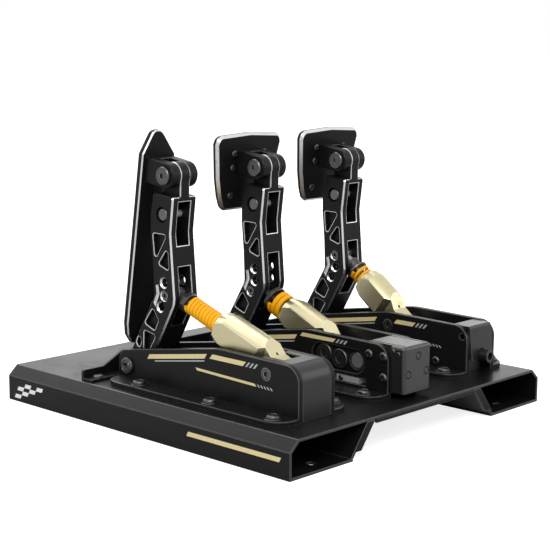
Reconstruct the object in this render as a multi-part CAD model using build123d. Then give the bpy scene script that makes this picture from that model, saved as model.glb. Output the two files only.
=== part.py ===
from build123d import *

import math
import os

os.makedirs("parts", exist_ok=True)

# Fits and gaps, in millimetres like every other length here
overrun = 2.0
fit_gap = 0.02
hinge_gap = 0.05
running_gap = 0.3
seat_gap = 0.1

# Base: one folded steel sheet, flat on top with chamfered long edges
base_width = 400.0
base_length = 420.0
base_height = 37.5
sheet = 3.0
base_wall_height = 27.0
base_chamfer_run = 11.4
base_flange_width = 88.0
channel_wall_lean = 24.0
channel_wall_thickness = 3.8
channel_strip_width = 8.0
channel_strip_foot = 5.0
strip_half_width = 78.0
strip_drop = 7.0
mount_hole_radius = 4.5
mount_spread_x = 301.0
mount_spread_y = 382.0

# Heel stop: a folded sheet across the base behind the pedal housings
heel_half_width = 186.0
heel_low_height = 11.2
heel_high_height = 24.6
heel_low_half_width = 158.0
heel_high_half_width = 131.0
heel_gap = 17.0
heel_foot_depth = 14.0
heel_screw_x = 172.0
heel_screw_radius = 3.0
heel_screw_head_height = 2.4
heel_corner_radius = 3.0

# Places of the three pedals across the base
throttle_x = 127.3
brake_x = -4.0
clutch_x = -136.5

# Pedal housings: two side plates with a foot flange each
plate_thickness = 6.0
housing_gap = 39.0
plate_length = 258.0
plate_height = 55.4
plate_rear_radius = 12.0
plate_crown_radius = 90.0
plate_front_radius = 17.0
plate_outline_shares = ((0.0, 0.0), (0.013, 0.569), (0.58, 1.0), (1.0, 0.969), (1.0, 0.0))
flange_reach = 26.0
flange_thickness = 5.0
flange_setback = 6.0
flange_corner_radius = 20.0
bolt_inset = 9.5
bolt_place_shares = (0.205, 0.606, 0.934)
bolt_shank_radius = 3.9
bolt_hole_radius = 4.2
bolt_washer_radius = 8.8
bolt_washer_height = 1.4
bolt_head_radius = 6.8
bolt_head_height = 3.4
bolt_socket_radius = 3.4
bolt_socket_depth = 2.6
scallop_radius = 17.0
edge_break = 0.6

# Pedal pivot
pivot_y = -64.6
pivot_rise = 16.2
pivot_overhang = 16.4
axle_radius = 7.0
axle_bore_radius = 4.0
pivot_bolt_head_radius = 9.0
pivot_bolt_head_height = 3.6
pivot_bolt_socket_radius = 3.0
pivot_bolt_shank_length = 14.0
bush_flange_radius = 11.5

# Pedal arm, from its pivot to its shoulder
arm_reach = 62.1
arm_rise = 180.3
arm_half_width = 16.6
arm_boss_radius = 14.5
arm_edge_bevel = 1.5
arm_foot_front_angle = -25.0
arm_foot_rear_angle = 165.0
arm_front_shares = (
    (0.541, 0.118), (0.984, 0.39), (1.0, 0.429), (0.96, 0.59), (0.911, 0.795), (0.984, 1.0),
)
arm_rear_shares = (
    (0.493, 1.017), (0.42, 0.889), (0.42, 0.789), (0.469, 0.606), (0.493, 0.423), (-0.039, 0.118),
)
arm_corner_radius = 3.0
arm_knee_radius = 12.0
slot_half_width = 8.2
slot_back_wall = 7.0
slot_band_shares = ((0.26, 0.603), (0.723, 0.97))
pocket_depth = 5.0
pocket_corner_radius = 2.2
pocket_shares = (
    ((0.493, 0.786), (0.815, 0.784), (0.541, 0.637)),
    ((0.839, 0.712), (0.622, 0.615), (0.871, 0.587)),
    ((0.469, 0.354), (0.267, 0.26), (0.509, 0.228), (0.605, 0.29)),
    ((0.251, 0.215), (0.533, 0.197), (0.235, 0.035)),
    ((0.058, 0.135), (0.118, 0.187), (0.179, 0.146), (0.122, 0.101)),
)
scale_depth = 0.6
scale_shares = ((0.57, 0.487), (0.6, 0.49), (0.625, 0.446), (0.535, 0.378), (0.512, 0.39), (0.59, 0.444))
clutch_hole_shares = (0.754, 0.512)
throttle_hole_shares = (0.762, 0.438)
brake_hole_shares = (0.665, 0.37)
damper_hole_radius = 4.5
damper_hole_bevel = 1.5
arm_pin_shares = (0.707, 0.897)
arm_pin_radius = 4.0
arm_pin_disc_radius = 6.4
arm_pin_disc_height = 3.0
arm_pin_disc_bevel = 0.6
arm_pin_recess_radius = 8.1
arm_pin_recess_depth = 4.4

# Tongue on top of the arm and the bolt that the pad tilts on
tongue_half_width = 6.5
tongue_radius = 13.5
tongue_front_angle = -25.0
tilt_forward = 49.2
tilt_rise = 201.6
tilt_shaft_radius = 5.0
tilt_head_radius = 9.4
tilt_head_height = 3.0
tilt_socket_radius = 3.4
tilt_socket_depth = 2.0
tongue_root_shares = ((0.56, 1.01), (0.56, 0.98), (0.984, 0.98), (0.984, 1.0))

# Pads: a bevelled back plate and a front layer on a bracket
pad_lean_angle = 9.0
pad_setback = 29.1
pad_plate_thickness = 4.6
pad_grip_thickness = 3.4
pad_bevel = 2.8
foot_bevel = 1.2
pad_width = 100.0
pad_height = 86.0
pad_corner_radius = 6.0
pad_half_width_shares = (0.27, 0.32, 0.375, 0.435, 0.47, 0.5, 0.48, 0.43, 0.0)
pad_height_shares = (-0.581, -0.547, -0.407, -0.163, 0.07, 0.279, 0.349, 0.39, 0.419)
foot_width = 45.4
foot_height = 228.2
foot_corner_radius = 5.0
foot_outline_shares = (
    (0.5, 0.088), (0.256, 0.184), (0.17, 0.196), (0.026, 0.195), (-0.079, 0.181), (-0.482, 0.083),
    (-0.482, -0.706), (-0.405, -0.767), (-0.26, -0.804), (0.262, -0.804), (0.405, -0.767), (0.467, -0.706),
)
pad_screw_radius = 4.0
pad_screw_height = 1.8
pad_screw_socket_radius = 1.6
pad_screw_u = 22.5
pad_screw_v = (13.5, -2.0, -33.0)
bracket_half_width = 17.5
bracket_gap_half_width = 7.0
bracket_radius = 13.0
bracket_base_depth = 9.0
bracket_bevel = 1.0

# Dampers: feet on the housing, measured from the pedal pivot
throttle_foot_forward = 199.9
throttle_foot_up = 24.8
brake_foot_forward = 155.8
brake_foot_up = 17.3
clutch_foot_forward = 134.3
clutch_foot_up = 24.7
foot_pin_radius = 6.15
foot_pin_socket_radius = 3.0
foot_pin_proud = 1.0
foot_head_radius = 10.0
throttle_body_length = 89.5
brake_body_length = 78.7
clutch_body_length = 67.0
damper_radius = 18.4
damper_flat = 14.5
damper_mouth_radius = 15.7
damper_cone_length = 10.5
damper_tongue_half_height = 9.0
damper_tongue_half_width = 10.5
damper_facet_start = 28.0
damper_facet_length = 16.3
damper_cheek_length = 7.0
damper_top_hole_radius = 1.6
damper_top_hole_back = 14.0
rod_radius = 5.0
rod_bore_gap = 0.3
rod_bore_play = 2.5
eye_radius = 6.5
eye_half_width = 7.5
damper_bolt_radius = 4.45
damper_bolt_waist_radius = 3.5
eye_play = 0.8
throttle_rod_length = 105.0
brake_rod_length = 80.0
clutch_rod_length = 77.0
throttle_stroke = 18.4
brake_stroke = 8.1
clutch_stroke = 19.8

# Collars that the springs push on
throttle_collar_start = 16.0
throttle_collar_length = 7.0
throttle_collar_radius = 11.0
collar_bevel = 1.4
brake_collar_start = 20.0
brake_collar_length = 5.0
brake_collar_radius = 14.4
clutch_collar_start = 14.0
clutch_neck_radius = 7.8
clutch_neck_length = 9.2
clutch_flare_length = 2.4
clutch_flare_radius = 11.7
clutch_rim_length = 1.9
clutch_bore_radius = 12.4
clutch_bore_depth = 28.0

# Springs of round wire
throttle_spring_radius = 7.8
throttle_wire = 2.5
throttle_turns = 10
brake_spring_radius = 12.6
brake_wire = 2.6
brake_turns = 3
clutch_spring_radius = 10.0
clutch_wire = 2.2
clutch_turns = 7
spring_lead_share = 1.25

# Throttle cover: a sheet over the gap between the side plates
cover_sheet = 2.0
cover_rear_share = 0.787
cover_slot_half_width = 12.0
cover_slot_length = 22.8

# Brake housing: window, discs, load cell and box cover
window_rear_share = 0.655
window_front_share = 0.831
window_rise = 31.5
window_radius = 12.5
window_depth = 3.0
window_hole_radius = 8.5
disc_bolt_share = 0.748
disc_bolt_rise = 30.5
disc_bolt_radius = 10.4
disc_bolt_height = 2.4
disc_bolt_socket_radius = 4.6
disc_bolt_shank_radius = 5.0
cell_length = 31.0
cell_height = 6.8
cell_rear_share = 0.735
cell_rise = 8.4
cell_recess = 0.8
cell_window_reach = 8.5
cell_stack_radius = 7.6
brake_box_depth = 17.0
brake_box_half_width = 21.7
brake_box_foot = 6.5
brake_box_top = 54.0
brake_box_corner_radius = 4.0
brake_box_top_radius = 3.6
brake_box_neck = 31.0
brake_box_neck_foot = 24.0
brake_box_groove = 1.8
cover_screw_radius = 3.4
cover_screw_height = 1.8
cover_screw_socket_radius = 1.4
cover_screw_ring_gap = 0.8
plate_screw_radius = 4.9
plate_screw_height = 2.4
plate_screw_socket_radius = 2.1
brake_screw_shares = ((0.905, 0.765), (0.977, 0.762), (0.978, 0.375))
cell_screw_shares = (0.76, 0.213)
cell_screw_radius = 3.0
box_plug_places = ((14.4, 25.6), (-0.9, 42.9), (-14.4, 26.0))
box_side_screw_radius = 2.4
box_side_screw_places = ((3.2, 48.6), (9.6, 46.6))
clutch_screw_shares = (0.845, 0.2)
clutch_hole_place_shares = (0.975, 0.763)
clutch_hole_radius = 3.4

# Clutch housing: short cover over an open front with a cable port
clutch_cover_depth = 27.0
clutch_cover_overhang = 3.0
clutch_cover_lean = 4.0
clutch_cover_foot = 16.0
clutch_cover_top = 53.0
clutch_cover_sheet = 3.0
clutch_notch_gap = 0.6
port_block_width = 28.0
port_block_depth = 16.0
port_block_height = 30.0
port_radius = 7.0
port_bore_radius = 4.0
port_length = 23.0
port_rise = 20.0
port_setback = 10.0

# Places that follow from the sizes above
pivot_z = base_height + pivot_rise
plate_rear = pivot_y - pivot_overhang
plate_front = plate_rear + plate_length
gap_half = housing_gap / 2
housing_half = gap_half + plate_thickness
bolt_x = housing_half + flange_reach - bolt_inset
tilt_y = pivot_y + tilt_forward
tilt_z = pivot_z + tilt_rise
pad_y = tilt_y - pad_setback
pad_front = pad_plate_thickness + pad_grip_thickness

MODULE_X = {"throttle": throttle_x, "brake": brake_x, "clutch": clutch_x}
HOLES = {"throttle": throttle_hole_shares, "brake": brake_hole_shares, "clutch": clutch_hole_shares}
FEET = {
    "throttle": (throttle_foot_forward, throttle_foot_up),
    "brake": (brake_foot_forward, brake_foot_up),
    "clutch": (clutch_foot_forward, clutch_foot_up),
}
BODY_LENGTH = {"throttle": throttle_body_length, "brake": brake_body_length, "clutch": clutch_body_length}
ROD_LENGTH = {"throttle": throttle_rod_length, "brake": brake_rod_length, "clutch": clutch_rod_length}
STROKE = {"throttle": throttle_stroke, "brake": brake_stroke, "clutch": clutch_stroke}
COLLAR_END = {
    "throttle": throttle_collar_start + throttle_collar_length,
    "brake": brake_collar_start + brake_collar_length,
    "clutch": clutch_collar_start + clutch_neck_length + clutch_flare_length + clutch_rim_length,
}
SPRINGS = {
    "throttle": (throttle_spring_radius, throttle_wire, throttle_turns),
    "brake": (brake_spring_radius, brake_wire, brake_turns),
    "clutch": (clutch_spring_radius, clutch_wire, clutch_turns),
}


# Helpers for outlines, plates and pins

def face_of(points, radius=0.0):
    """A flat face inside closed points, with its corners rounded."""
    if radius > 0.0:
        return make_face(FilletPolyline(*points, radius=radius, close=True).edges())
    return make_face(Polyline(*points, close=True).edges())


def across(face, low, high):
    """A face drawn in length and height, thickened from low to high across the base."""
    return Pos(low, 0, 0) * extrude(Plane.YZ * face, amount=high - low)


def pin_x(radius, low, high, y, z):
    """A round bar lying across the base."""
    middle = (low + high) / 2
    return Pos(middle, y, z) * Rot(0, 90, 0) * Cylinder(radius, high - low)


def pin_z(radius, low, high, x, y):
    """An upright round bar."""
    return Pos(x, y, (low + high) / 2) * Cylinder(radius, high - low)


def block(low, high):
    """A box between two corners."""
    size = [high[i] - low[i] for i in range(3)]
    middle = [(high[i] + low[i]) / 2 for i in range(3)]
    return Pos(*middle) * Box(*size)


def socket(radius, low, high, x, y):
    """A six-sided recess, upright."""
    return Pos(x, y, low) * extrude(RegularPolygon(radius, 6), amount=high - low)


def head_along(place, radius, height, socket_radius, depth, shank_radius=0.0, shank_length=0.0):
    """A bolt head that stands on a seat, with its socket and its shank below."""
    bolt = Pos(0, 0, height / 2) * Cylinder(radius, height)
    top_edges = bolt.edges().filter_by(GeomType.CIRCLE).sort_by(Axis.Z)[-1]
    bolt = chamfer(top_edges, height / 4)
    bolt -= socket(socket_radius, height - depth, height + overrun, 0, 0)
    if shank_length > 0.0:
        bolt += Pos(0, 0, -shank_length / 2) * Cylinder(shank_radius, shank_length)
    return place * bolt


def plate_point(shares):
    """A place on a side plate from its shares of length and height."""
    return (plate_rear + shares[0] * plate_length, base_height + shares[1] * plate_height)


def arm_point(shares):
    """A place on the arm from its shares of reach and rise."""
    return (pivot_y + shares[0] * arm_reach, pivot_z + shares[1] * arm_rise)


def bolt_places():
    """Places of the flange bolts of all housings."""
    places = []
    for name in MODULE_X:
        for side in (-1, 1):
            for share in bolt_place_shares:
                places.append((MODULE_X[name] + side * bolt_x, plate_rear + share * plate_length))
    return places


def damper_line(name):
    """Upper pin, foot pin, length between them and slope of one damper."""
    upper = arm_point(HOLES[name])
    foot = (pivot_y + FEET[name][0], pivot_z + FEET[name][1])
    run = foot[0] - upper[0]
    drop = upper[1] - foot[1]
    return upper, foot, math.hypot(run, drop), math.atan2(drop, run)


def damper_frame(name):
    """The frame of a damper: local Z runs from the arm to the foot, local minus Y is its top."""
    upper, foot, length, slope = damper_line(name)
    place = Plane(
        origin=(MODULE_X[name], upper[0], upper[1]),
        x_dir=(1, 0, 0),
        z_dir=(0, math.cos(slope), -math.sin(slope)),
    )
    return place.location


def pad_frame(name):
    """The frame of a pad: local X across, local Y up the pad, local Z to the driver."""
    lean = math.radians(pad_lean_angle)
    place = Plane(
        origin=(MODULE_X[name], pad_y, tilt_z),
        x_dir=(1, 0, 0),
        z_dir=(0, -math.cos(lean), math.sin(lean)),
    )
    return place.location


def tilt_in_pad():
    """The tilt bolt's place in the pad frame, as height up the pad and distance behind it."""
    lean = math.radians(pad_lean_angle)
    return pad_setback * math.sin(lean), -pad_setback * math.cos(lean)


# Base

def base_plate():
    """The folded base sheet with its holes."""
    half = base_width / 2
    hull = face_of(
        (
            (-half, 0),
            (half, 0),
            (half, base_wall_height),
            (half - base_chamfer_run, base_height),
            (base_chamfer_run - half, base_height),
            (-half, base_wall_height),
        )
    )
    section = hull - offset(hull, -sheet, kind=Kind.INTERSECTION)
    section -= Rectangle(2 * (half - base_flange_width), 2 * (sheet + overrun))
    body = extrude(Plane.XZ * section, amount=base_length / 2, both=True)
    for x, y in bolt_places():
        body -= pin_z(bolt_hole_radius, base_height - sheet - overrun, base_height + overrun, x, y)
    for x in (-mount_spread_x / 2, mount_spread_x / 2):
        for y in (-mount_spread_y / 2, mount_spread_y / 2):
            body -= pin_z(mount_hole_radius, -overrun, sheet + overrun, x, y)
    return body


def end_strips():
    """The stiffening strips under the front and rear end of the base's top."""
    strips = []
    for end in (-1, 1):
        outer = end * base_length / 2
        inner = outer - end * sheet
        strips.append(
            block(
                (-strip_half_width, min(outer, inner), base_height - strip_drop),
                (strip_half_width, max(outer, inner), base_height - sheet),
            )
        )
    return strips


def channel_walls():
    """Two slanted walls that close the side channels, with turned strips at their ends."""
    foot = base_width / 2 - base_flange_width
    top = foot - channel_wall_lean
    roof = base_height - sheet
    wall = face_of(
        (
            (foot, sheet),
            (foot + channel_wall_thickness, sheet),
            (top + channel_wall_thickness, roof),
            (top, roof),
        )
    )
    rise = roof - sheet
    low = sheet + channel_strip_foot
    low_x = foot - channel_wall_lean * channel_strip_foot / rise
    strip = face_of(
        (
            (low_x + channel_wall_thickness / 2, low),
            (low_x - channel_strip_width, low),
            (top - channel_strip_width, roof),
            (top + channel_wall_thickness / 2, roof),
        )
    )
    side = extrude(Plane.XZ * wall, amount=base_length / 2, both=True)
    strips = extrude(Plane.XZ * strip, amount=base_length / 2, both=True)
    inner = base_length / 2 - sheet
    strips -= block(
        (top - 2 * channel_strip_width, -inner, -overrun),
        (foot + 2 * channel_strip_width, inner, base_height),
    )
    side += strips
    return [side, mirror(side, about=Plane.YZ)]


def heel_stop():
    """The heel stop: an upright sheet with a foot turned towards the housings."""
    front = plate_rear - heel_gap
    outline = face_of(
        (
            (-heel_half_width, base_height),
            (heel_half_width, base_height),
            (heel_half_width, base_height + heel_low_height),
            (heel_low_half_width, base_height + heel_low_height),
            (heel_high_half_width, base_height + heel_high_height),
            (-heel_high_half_width, base_height + heel_high_height),
            (-heel_low_half_width, base_height + heel_low_height),
            (-heel_half_width, base_height + heel_low_height),
        )
    )
    ends = outline.vertices().group_by(Axis.X)
    corners = ends[0].sort_by(Axis.Y)[-1:] + ends[-1].sort_by(Axis.Y)[-1:]
    outline = fillet(corners, heel_corner_radius)
    wall = Pos(0, front, 0) * extrude(Plane.XZ * outline, amount=sheet)
    foot = block(
        (-heel_half_width, front - sheet / 2, base_height),
        (heel_half_width, front + heel_foot_depth, base_height + sheet),
    )
    stop = wall + foot
    low = base_height - overrun
    high = base_height + sheet + overrun
    for x in (-heel_screw_x, heel_screw_x):
        stop -= pin_z(heel_screw_radius + fit_gap, low, high, x, heel_y())
    return stop


def heel_y():
    """The line of the heel stop's screws."""
    return plate_rear - heel_gap + heel_foot_depth / 2


def heel_screws():
    """Button screws through the heel stop's foot."""
    screws = []
    for x in (-heel_screw_x, heel_screw_x):
        place = Pos(x, heel_y(), base_height + sheet)
        screws.append(
            head_along(
                place,
                2 * heel_screw_radius,
                heel_screw_head_height,
                heel_screw_radius / 2,
                heel_screw_head_height / 2,
                heel_screw_radius,
                sheet,
            )
        )
    return screws


# Housings

def housing_outline():
    """The outline of a side plate."""
    points = [plate_point(shares) for shares in plate_outline_shares]
    radii = (0.0, plate_rear_radius, plate_crown_radius, plate_front_radius, 0.0)
    return make_face(FilletPolyline(*points, radius=radii, close=True).edges())


def foot_pin_place(name):
    """Place of a damper's foot pin."""
    return (pivot_y + FEET[name][0], pivot_z + FEET[name][1])


def side_plate(name, side):
    """One side plate with its foot flange, holes and wrench scallops."""
    plate = across(housing_outline(), gap_half, housing_half)
    flange_face = face_of(
        (
            (housing_half, plate_rear + flange_setback),
            (housing_half + flange_reach, plate_rear + flange_setback),
            (housing_half + flange_reach, plate_front),
            (housing_half, plate_front),
        )
    )
    corners = flange_face.vertices().sort_by(Axis.X)[-2:]
    flange_face = fillet(corners, flange_corner_radius)
    flange = Pos(0, 0, base_height) * extrude(flange_face, amount=flange_thickness)
    top = base_height + flange_thickness
    for share in bolt_place_shares:
        y = plate_rear + share * plate_length
        plate -= scallop(y, top)
        flange -= pin_z(bolt_hole_radius, base_height - overrun, top + overrun, bolt_x, y)
    plate += flange
    plate -= pin_x(axle_radius + fit_gap, 0, housing_half + overrun, pivot_y, pivot_z)
    foot_y, foot_z = foot_pin_place(name)
    plate -= pin_x(foot_pin_radius + fit_gap, 0, housing_half + overrun, foot_y, foot_z)
    if name == "brake" and side > 0:
        plate -= brake_window()
    if name == "clutch" and side > 0:
        y, z = plate_point(clutch_hole_place_shares)
        plate -= pin_x(clutch_hole_radius, 0, housing_half + overrun, y, z)
    if side < 0:
        plate = mirror(plate, about=Plane.YZ)
    return Pos(MODULE_X[name], 0, 0) * plate


def scallop(y, floor):
    """The hollow that gives a wrench room by a flange bolt: part of a ball above the flange."""
    ball = Pos(bolt_x, y, floor) * Sphere(scallop_radius)
    above = block((0, y - scallop_radius, floor), (bolt_x, y + scallop_radius, floor + scallop_radius))
    return ball & above


def brake_window():
    """What is cut from the brake's near plate: a long recess, a hole and a load cell window."""
    rear = plate_rear + window_rear_share * plate_length
    front = plate_rear + window_front_share * plate_length
    z = base_height + window_rise
    inner = housing_half - window_depth
    outer = housing_half + overrun
    cut = block((inner, rear, z - window_radius), (outer, front, z + window_radius))
    cut += pin_x(window_radius, inner, outer, rear, z)
    cut += pin_x(window_radius, inner, outer, front, z)
    cut += pin_x(window_hole_radius, 0, outer, front, z)
    y, z = disc_bolt_place()
    cut += pin_x(disc_bolt_shank_radius + fit_gap, 0, outer, y, z)
    low, high = cell_corners()
    cut += block(
        (0, low[1] - seat_gap, low[2] - seat_gap),
        (outer, high[1] + cell_window_reach, high[2] + seat_gap),
    )
    return cut


def disc_bolt_place():
    """Place of the large disc bolt in the brake's window."""
    return plate_rear + disc_bolt_share * plate_length, base_height + disc_bolt_rise


def cell_corners():
    """Corners of the load cell bar in the brake housing."""
    rear = plate_rear + cell_rear_share * plate_length
    low = (-gap_half, rear, base_height + cell_rise)
    high = (housing_half - cell_recess, rear + cell_length, base_height + cell_rise + cell_height)
    return low, high


def brake_load_cell():
    """The load cell bar, with the round stack that shows through the plate's hole."""
    low, high = cell_corners()
    bar = block(low, high)
    front = plate_rear + window_front_share * plate_length
    z = base_height + window_rise
    stack = pin_x(cell_stack_radius, -gap_half, gap_half + plate_thickness / 3, front, z)
    stack += block(
        (-gap_half, front - cell_stack_radius, high[2] - cell_height / 2),
        (gap_half - running_gap, front + cell_stack_radius / 3, z),
    )
    bar += stack
    return Pos(brake_x, 0, 0) * bar


def brake_disc_bolt():
    """The large socket bolt with a disc head in the brake's window."""
    y, z = disc_bolt_place()
    place = Pos(brake_x + housing_half - window_depth, y, z) * Rot(0, 90, 0)
    return head_along(
        place,
        disc_bolt_radius,
        disc_bolt_height,
        disc_bolt_socket_radius,
        disc_bolt_height / 2,
        disc_bolt_shank_radius,
        plate_thickness,
    )


def flange_bolts():
    """Socket button bolts with washers that hold the housings down."""
    bolts = []
    seat = base_height + flange_thickness
    for x, y in bolt_places():
        place = Pos(x, y, seat + bolt_washer_height)
        bolt = head_along(
            place,
            bolt_head_radius,
            bolt_head_height,
            bolt_socket_radius,
            bolt_socket_depth,
            bolt_shank_radius,
            bolt_washer_height + flange_thickness + sheet,
        )
        washer = pin_z(bolt_washer_radius, seat, seat + bolt_washer_height, x, y)
        bolts.append(bolt + washer)
    return bolts


def pivot_axles():
    """The three pedal axles, bored at both ends for their bolts."""
    axles = []
    for name in MODULE_X:
        x = MODULE_X[name]
        axle = pin_x(axle_radius, -housing_half, housing_half, pivot_y, pivot_z)
        for side in (-1, 1):
            end = side * housing_half
            start = end - side * pivot_bolt_shank_length
            axle -= pin_x(axle_bore_radius, min(start, end), max(start, end), pivot_y, pivot_z)
        axles.append(Pos(x, 0, 0) * axle)
    return axles


def pivot_bolts():
    """Button bolts in both ends of each axle."""
    bolts = []
    for name in MODULE_X:
        for side in (-1, 1):
            place = Pos(MODULE_X[name] + side * housing_half, pivot_y, pivot_z) * Rot(0, side * 90, 0)
            bolts.append(
                head_along(
                    place,
                    pivot_bolt_head_radius,
                    pivot_bolt_head_height,
                    pivot_bolt_socket_radius,
                    pivot_bolt_head_height / 2,
                    axle_bore_radius - fit_gap,
                    pivot_bolt_shank_length - overrun,
                )
            )
    return bolts


def pivot_bushes():
    """Rings on the axles that keep the arms centred between the plates."""
    rings = []
    inner = arm_half_width + running_gap
    for name in MODULE_X:
        for side in (-1, 1):
            low = min(side * inner, side * gap_half)
            high = max(side * inner, side * gap_half)
            ring = pin_x(bush_flange_radius, low, high, pivot_y, pivot_z)
            ring -= pin_x(axle_radius + fit_gap, low - overrun, high + overrun, pivot_y, pivot_z)
            rings.append(Pos(MODULE_X[name], 0, 0) * ring)
    return rings


def foot_pins():
    """Pins that the dampers' feet turn on. The brake's has a disc head in the plate's window."""
    pins = []
    for name in MODULE_X:
        y, z = foot_pin_place(name)
        end = housing_half + foot_pin_proud
        right = housing_half - window_depth if name == "brake" else end
        pin = pin_x(foot_pin_radius, -end, right, y, z)
        if name == "brake":
            place = Pos(right, y, z) * Rot(0, 90, 0)
            head = (foot_head_radius, disc_bolt_height, disc_bolt_socket_radius, disc_bolt_height / 2)
            pin += head_along(place, *head)
        for side in (-1, 1):
            if side > 0 and name == "brake":
                continue
            place = Pos(side * (end - foot_pin_proud), y, z) * Rot(0, side * 90, 0)
            pin -= place * socket(foot_pin_socket_radius, -foot_pin_proud, 2 * foot_pin_proud, 0, 0)
        pins.append(Pos(MODULE_X[name], 0, 0) * pin)
    return pins


def throttle_cover():
    """The sheet that closes the throttle housing's top and front, with a slot for the damper."""
    outline = housing_outline()
    rear = plate_rear + cover_rear_share * plate_length
    inside = offset(outline, -cover_sheet, kind=Kind.INTERSECTION)
    middle = (plate_rear + plate_front) / 2 - cover_sheet
    floor = Pos(middle, base_height) * Rectangle(plate_length, 4 * cover_sheet)
    keep = Pos(rear + plate_length / 2, base_height) * Rectangle(plate_length, 4 * plate_height)
    band = (outline - inside - floor) & keep
    half = gap_half - running_gap
    cover = across(band, -half, half)
    cover -= block(
        (-cover_slot_half_width, rear - overrun, base_height + plate_height / 2),
        (cover_slot_half_width, rear + cover_slot_length, base_height + plate_height + overrun),
    )
    return Pos(throttle_x, 0, 0) * cover


def brake_cover():
    """The box in front of the brake housing, with a neck between the side plates."""
    low = base_height + brake_box_foot
    high = base_height + brake_box_top
    start = plate_front + running_gap
    box = block(
        (-brake_box_half_width, start, low),
        (brake_box_half_width, start + brake_box_depth, high),
    )
    box = fillet(box.edges().filter_by(Axis.Z).sort_by(Axis.Y)[-2:], brake_box_corner_radius)
    brow = box.faces().sort_by(Axis.Z)[-1].edges().sort_by(Axis.Y)[-3:]
    box = fillet(brow, brake_box_top_radius)
    half = gap_half - running_gap
    neck = block(
        (-half, start - brake_box_neck, base_height + brake_box_neck_foot),
        (half, start + brake_box_depth / 2, high),
    )
    cover = box + neck
    for x in (-half + 2 * brake_box_groove, half - 2 * brake_box_groove):
        cover -= block(
            (x - brake_box_groove / 2, start - brake_box_neck - overrun, high - brake_box_groove),
            (x + brake_box_groove / 2, start + brake_box_depth - brake_box_corner_radius, high + overrun),
        )
    ring = cover_screw_radius + cover_screw_ring_gap
    for x, z in box_plug_places:
        cover -= box_plug_place(x, z) * Cylinder(ring, 2 * cover_screw_height)
    return Pos(brake_x, 0, 0) * cover


def box_plug_place(x, z):
    """Where a plug shows on the front of the brake's box."""
    front = plate_front + running_gap + brake_box_depth
    return Pos(x, front, base_height + z) * Rot(-90, 0, 0)


def cover_screws():
    """Button screws on the brake's and clutch's plates and box, and the plugs in the box's front."""
    screws = []
    socket_radius = cover_screw_socket_radius
    for x, z in box_plug_places:
        place = Pos(brake_x, -cover_screw_height / 2, 0) * box_plug_place(x, z)
        plug = Cylinder(cover_screw_radius, cover_screw_height)
        screws.append(place * chamfer(plug.edges().filter_by(GeomType.CIRCLE), cover_screw_height / 8))
    for along, z in box_side_screw_places:
        x = brake_x + brake_box_half_width
        place = Pos(x, plate_front + running_gap + along, base_height + z) * Rot(0, 90, 0)
        height = 2 * cover_screw_height / 3
        screws.append(head_along(place, box_side_screw_radius, height, socket_radius, height / 2))
    large = (plate_screw_radius, plate_screw_height, plate_screw_socket_radius, plate_screw_height / 2)
    for shares in brake_screw_shares:
        y, z = plate_point(shares)
        place = Pos(brake_x + housing_half, y, z) * Rot(0, 90, 0)
        screws.append(head_along(place, *large))
    y, z = plate_point(cell_screw_shares)
    place = Pos(brake_x + housing_half - cell_recess, y, z) * Rot(0, 90, 0)
    screws.append(head_along(place, cell_screw_radius, cover_screw_height, socket_radius, cover_screw_height / 2))
    y, z = plate_point(clutch_screw_shares)
    place = Pos(clutch_x + housing_half, y, z) * Rot(0, 90, 0)
    screws.append(head_along(place, *large))
    return screws


def clutch_cover():
    """The folded cover at the front of the clutch housing, with a leaning front and a notch."""
    low = base_height + clutch_cover_foot
    high = base_height + clutch_cover_top
    front = plate_front + clutch_cover_overhang
    back = front - clutch_cover_depth
    lean = clutch_cover_lean
    wall = clutch_cover_sheet
    outline = face_of(
        (
            (front, low),
            (front - lean, high),
            (back, high),
            (back, high - wall),
            (front - lean - wall, high - wall),
            (front - wall, low),
        )
    )
    half = gap_half - running_gap
    cover = across(outline, -half, half)
    brow = cover.edges().filter_by(Axis.X).filter_by_position(Axis.Z, high - running_gap, high + running_gap)
    cover = fillet(brow.sort_by(Axis.Y)[-1:], clutch_cover_overhang)
    notch = port_radius + clutch_notch_gap
    z = base_height + port_rise
    cover -= Pos(0, front, z) * Rot(90, 0, 0) * Cylinder(notch, 4 * clutch_cover_overhang)
    cover -= block((-notch, back, low - overrun), (notch, front + overrun, z))
    return Pos(clutch_x, 0, 0) * cover


def clutch_cable_port():
    """The cable inlet low in the clutch housing: a block with a bored round neck."""
    rear = plate_front - port_setback - port_block_depth
    front = plate_front - port_setback
    body = block(
        (-port_block_width / 2, rear, base_height),
        (port_block_width / 2, front, base_height + port_block_height),
    )
    z = base_height + port_rise
    neck = Pos(0, front + port_length / 2, z) * Rot(90, 0, 0) * Cylinder(port_radius, port_length)
    bore = Pos(0, front, z) * Rot(90, 0, 0) * Cylinder(port_bore_radius, 2 * (port_length + overrun))
    return Pos(clutch_x, 0, 0) * (body + neck - bore)


# Pedal arms

def arm_outline():
    """The arm's outline from its boss to its shoulder."""
    points = []
    for angle in (arm_foot_rear_angle, arm_foot_front_angle):
        turn = math.radians(angle)
        y = pivot_y + arm_boss_radius * math.cos(turn)
        points.append((y, pivot_z + arm_boss_radius * math.sin(turn)))
    points += [arm_point(shares) for shares in arm_front_shares]
    points += [arm_point(shares) for shares in arm_rear_shares]
    radii = [0.0, 0.0] + [arm_corner_radius] * (len(arm_front_shares) + len(arm_rear_shares))
    front_knee = len(radii) - len(arm_rear_shares) - len(arm_front_shares) + 1
    rear_knee = len(radii) - 2
    radii[front_knee] = arm_knee_radius
    radii[rear_knee] = arm_knee_radius
    outline = make_face(FilletPolyline(*points, radius=radii, close=True).edges())
    return outline + Pos(pivot_y, pivot_z) * Circle(arm_boss_radius)


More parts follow.
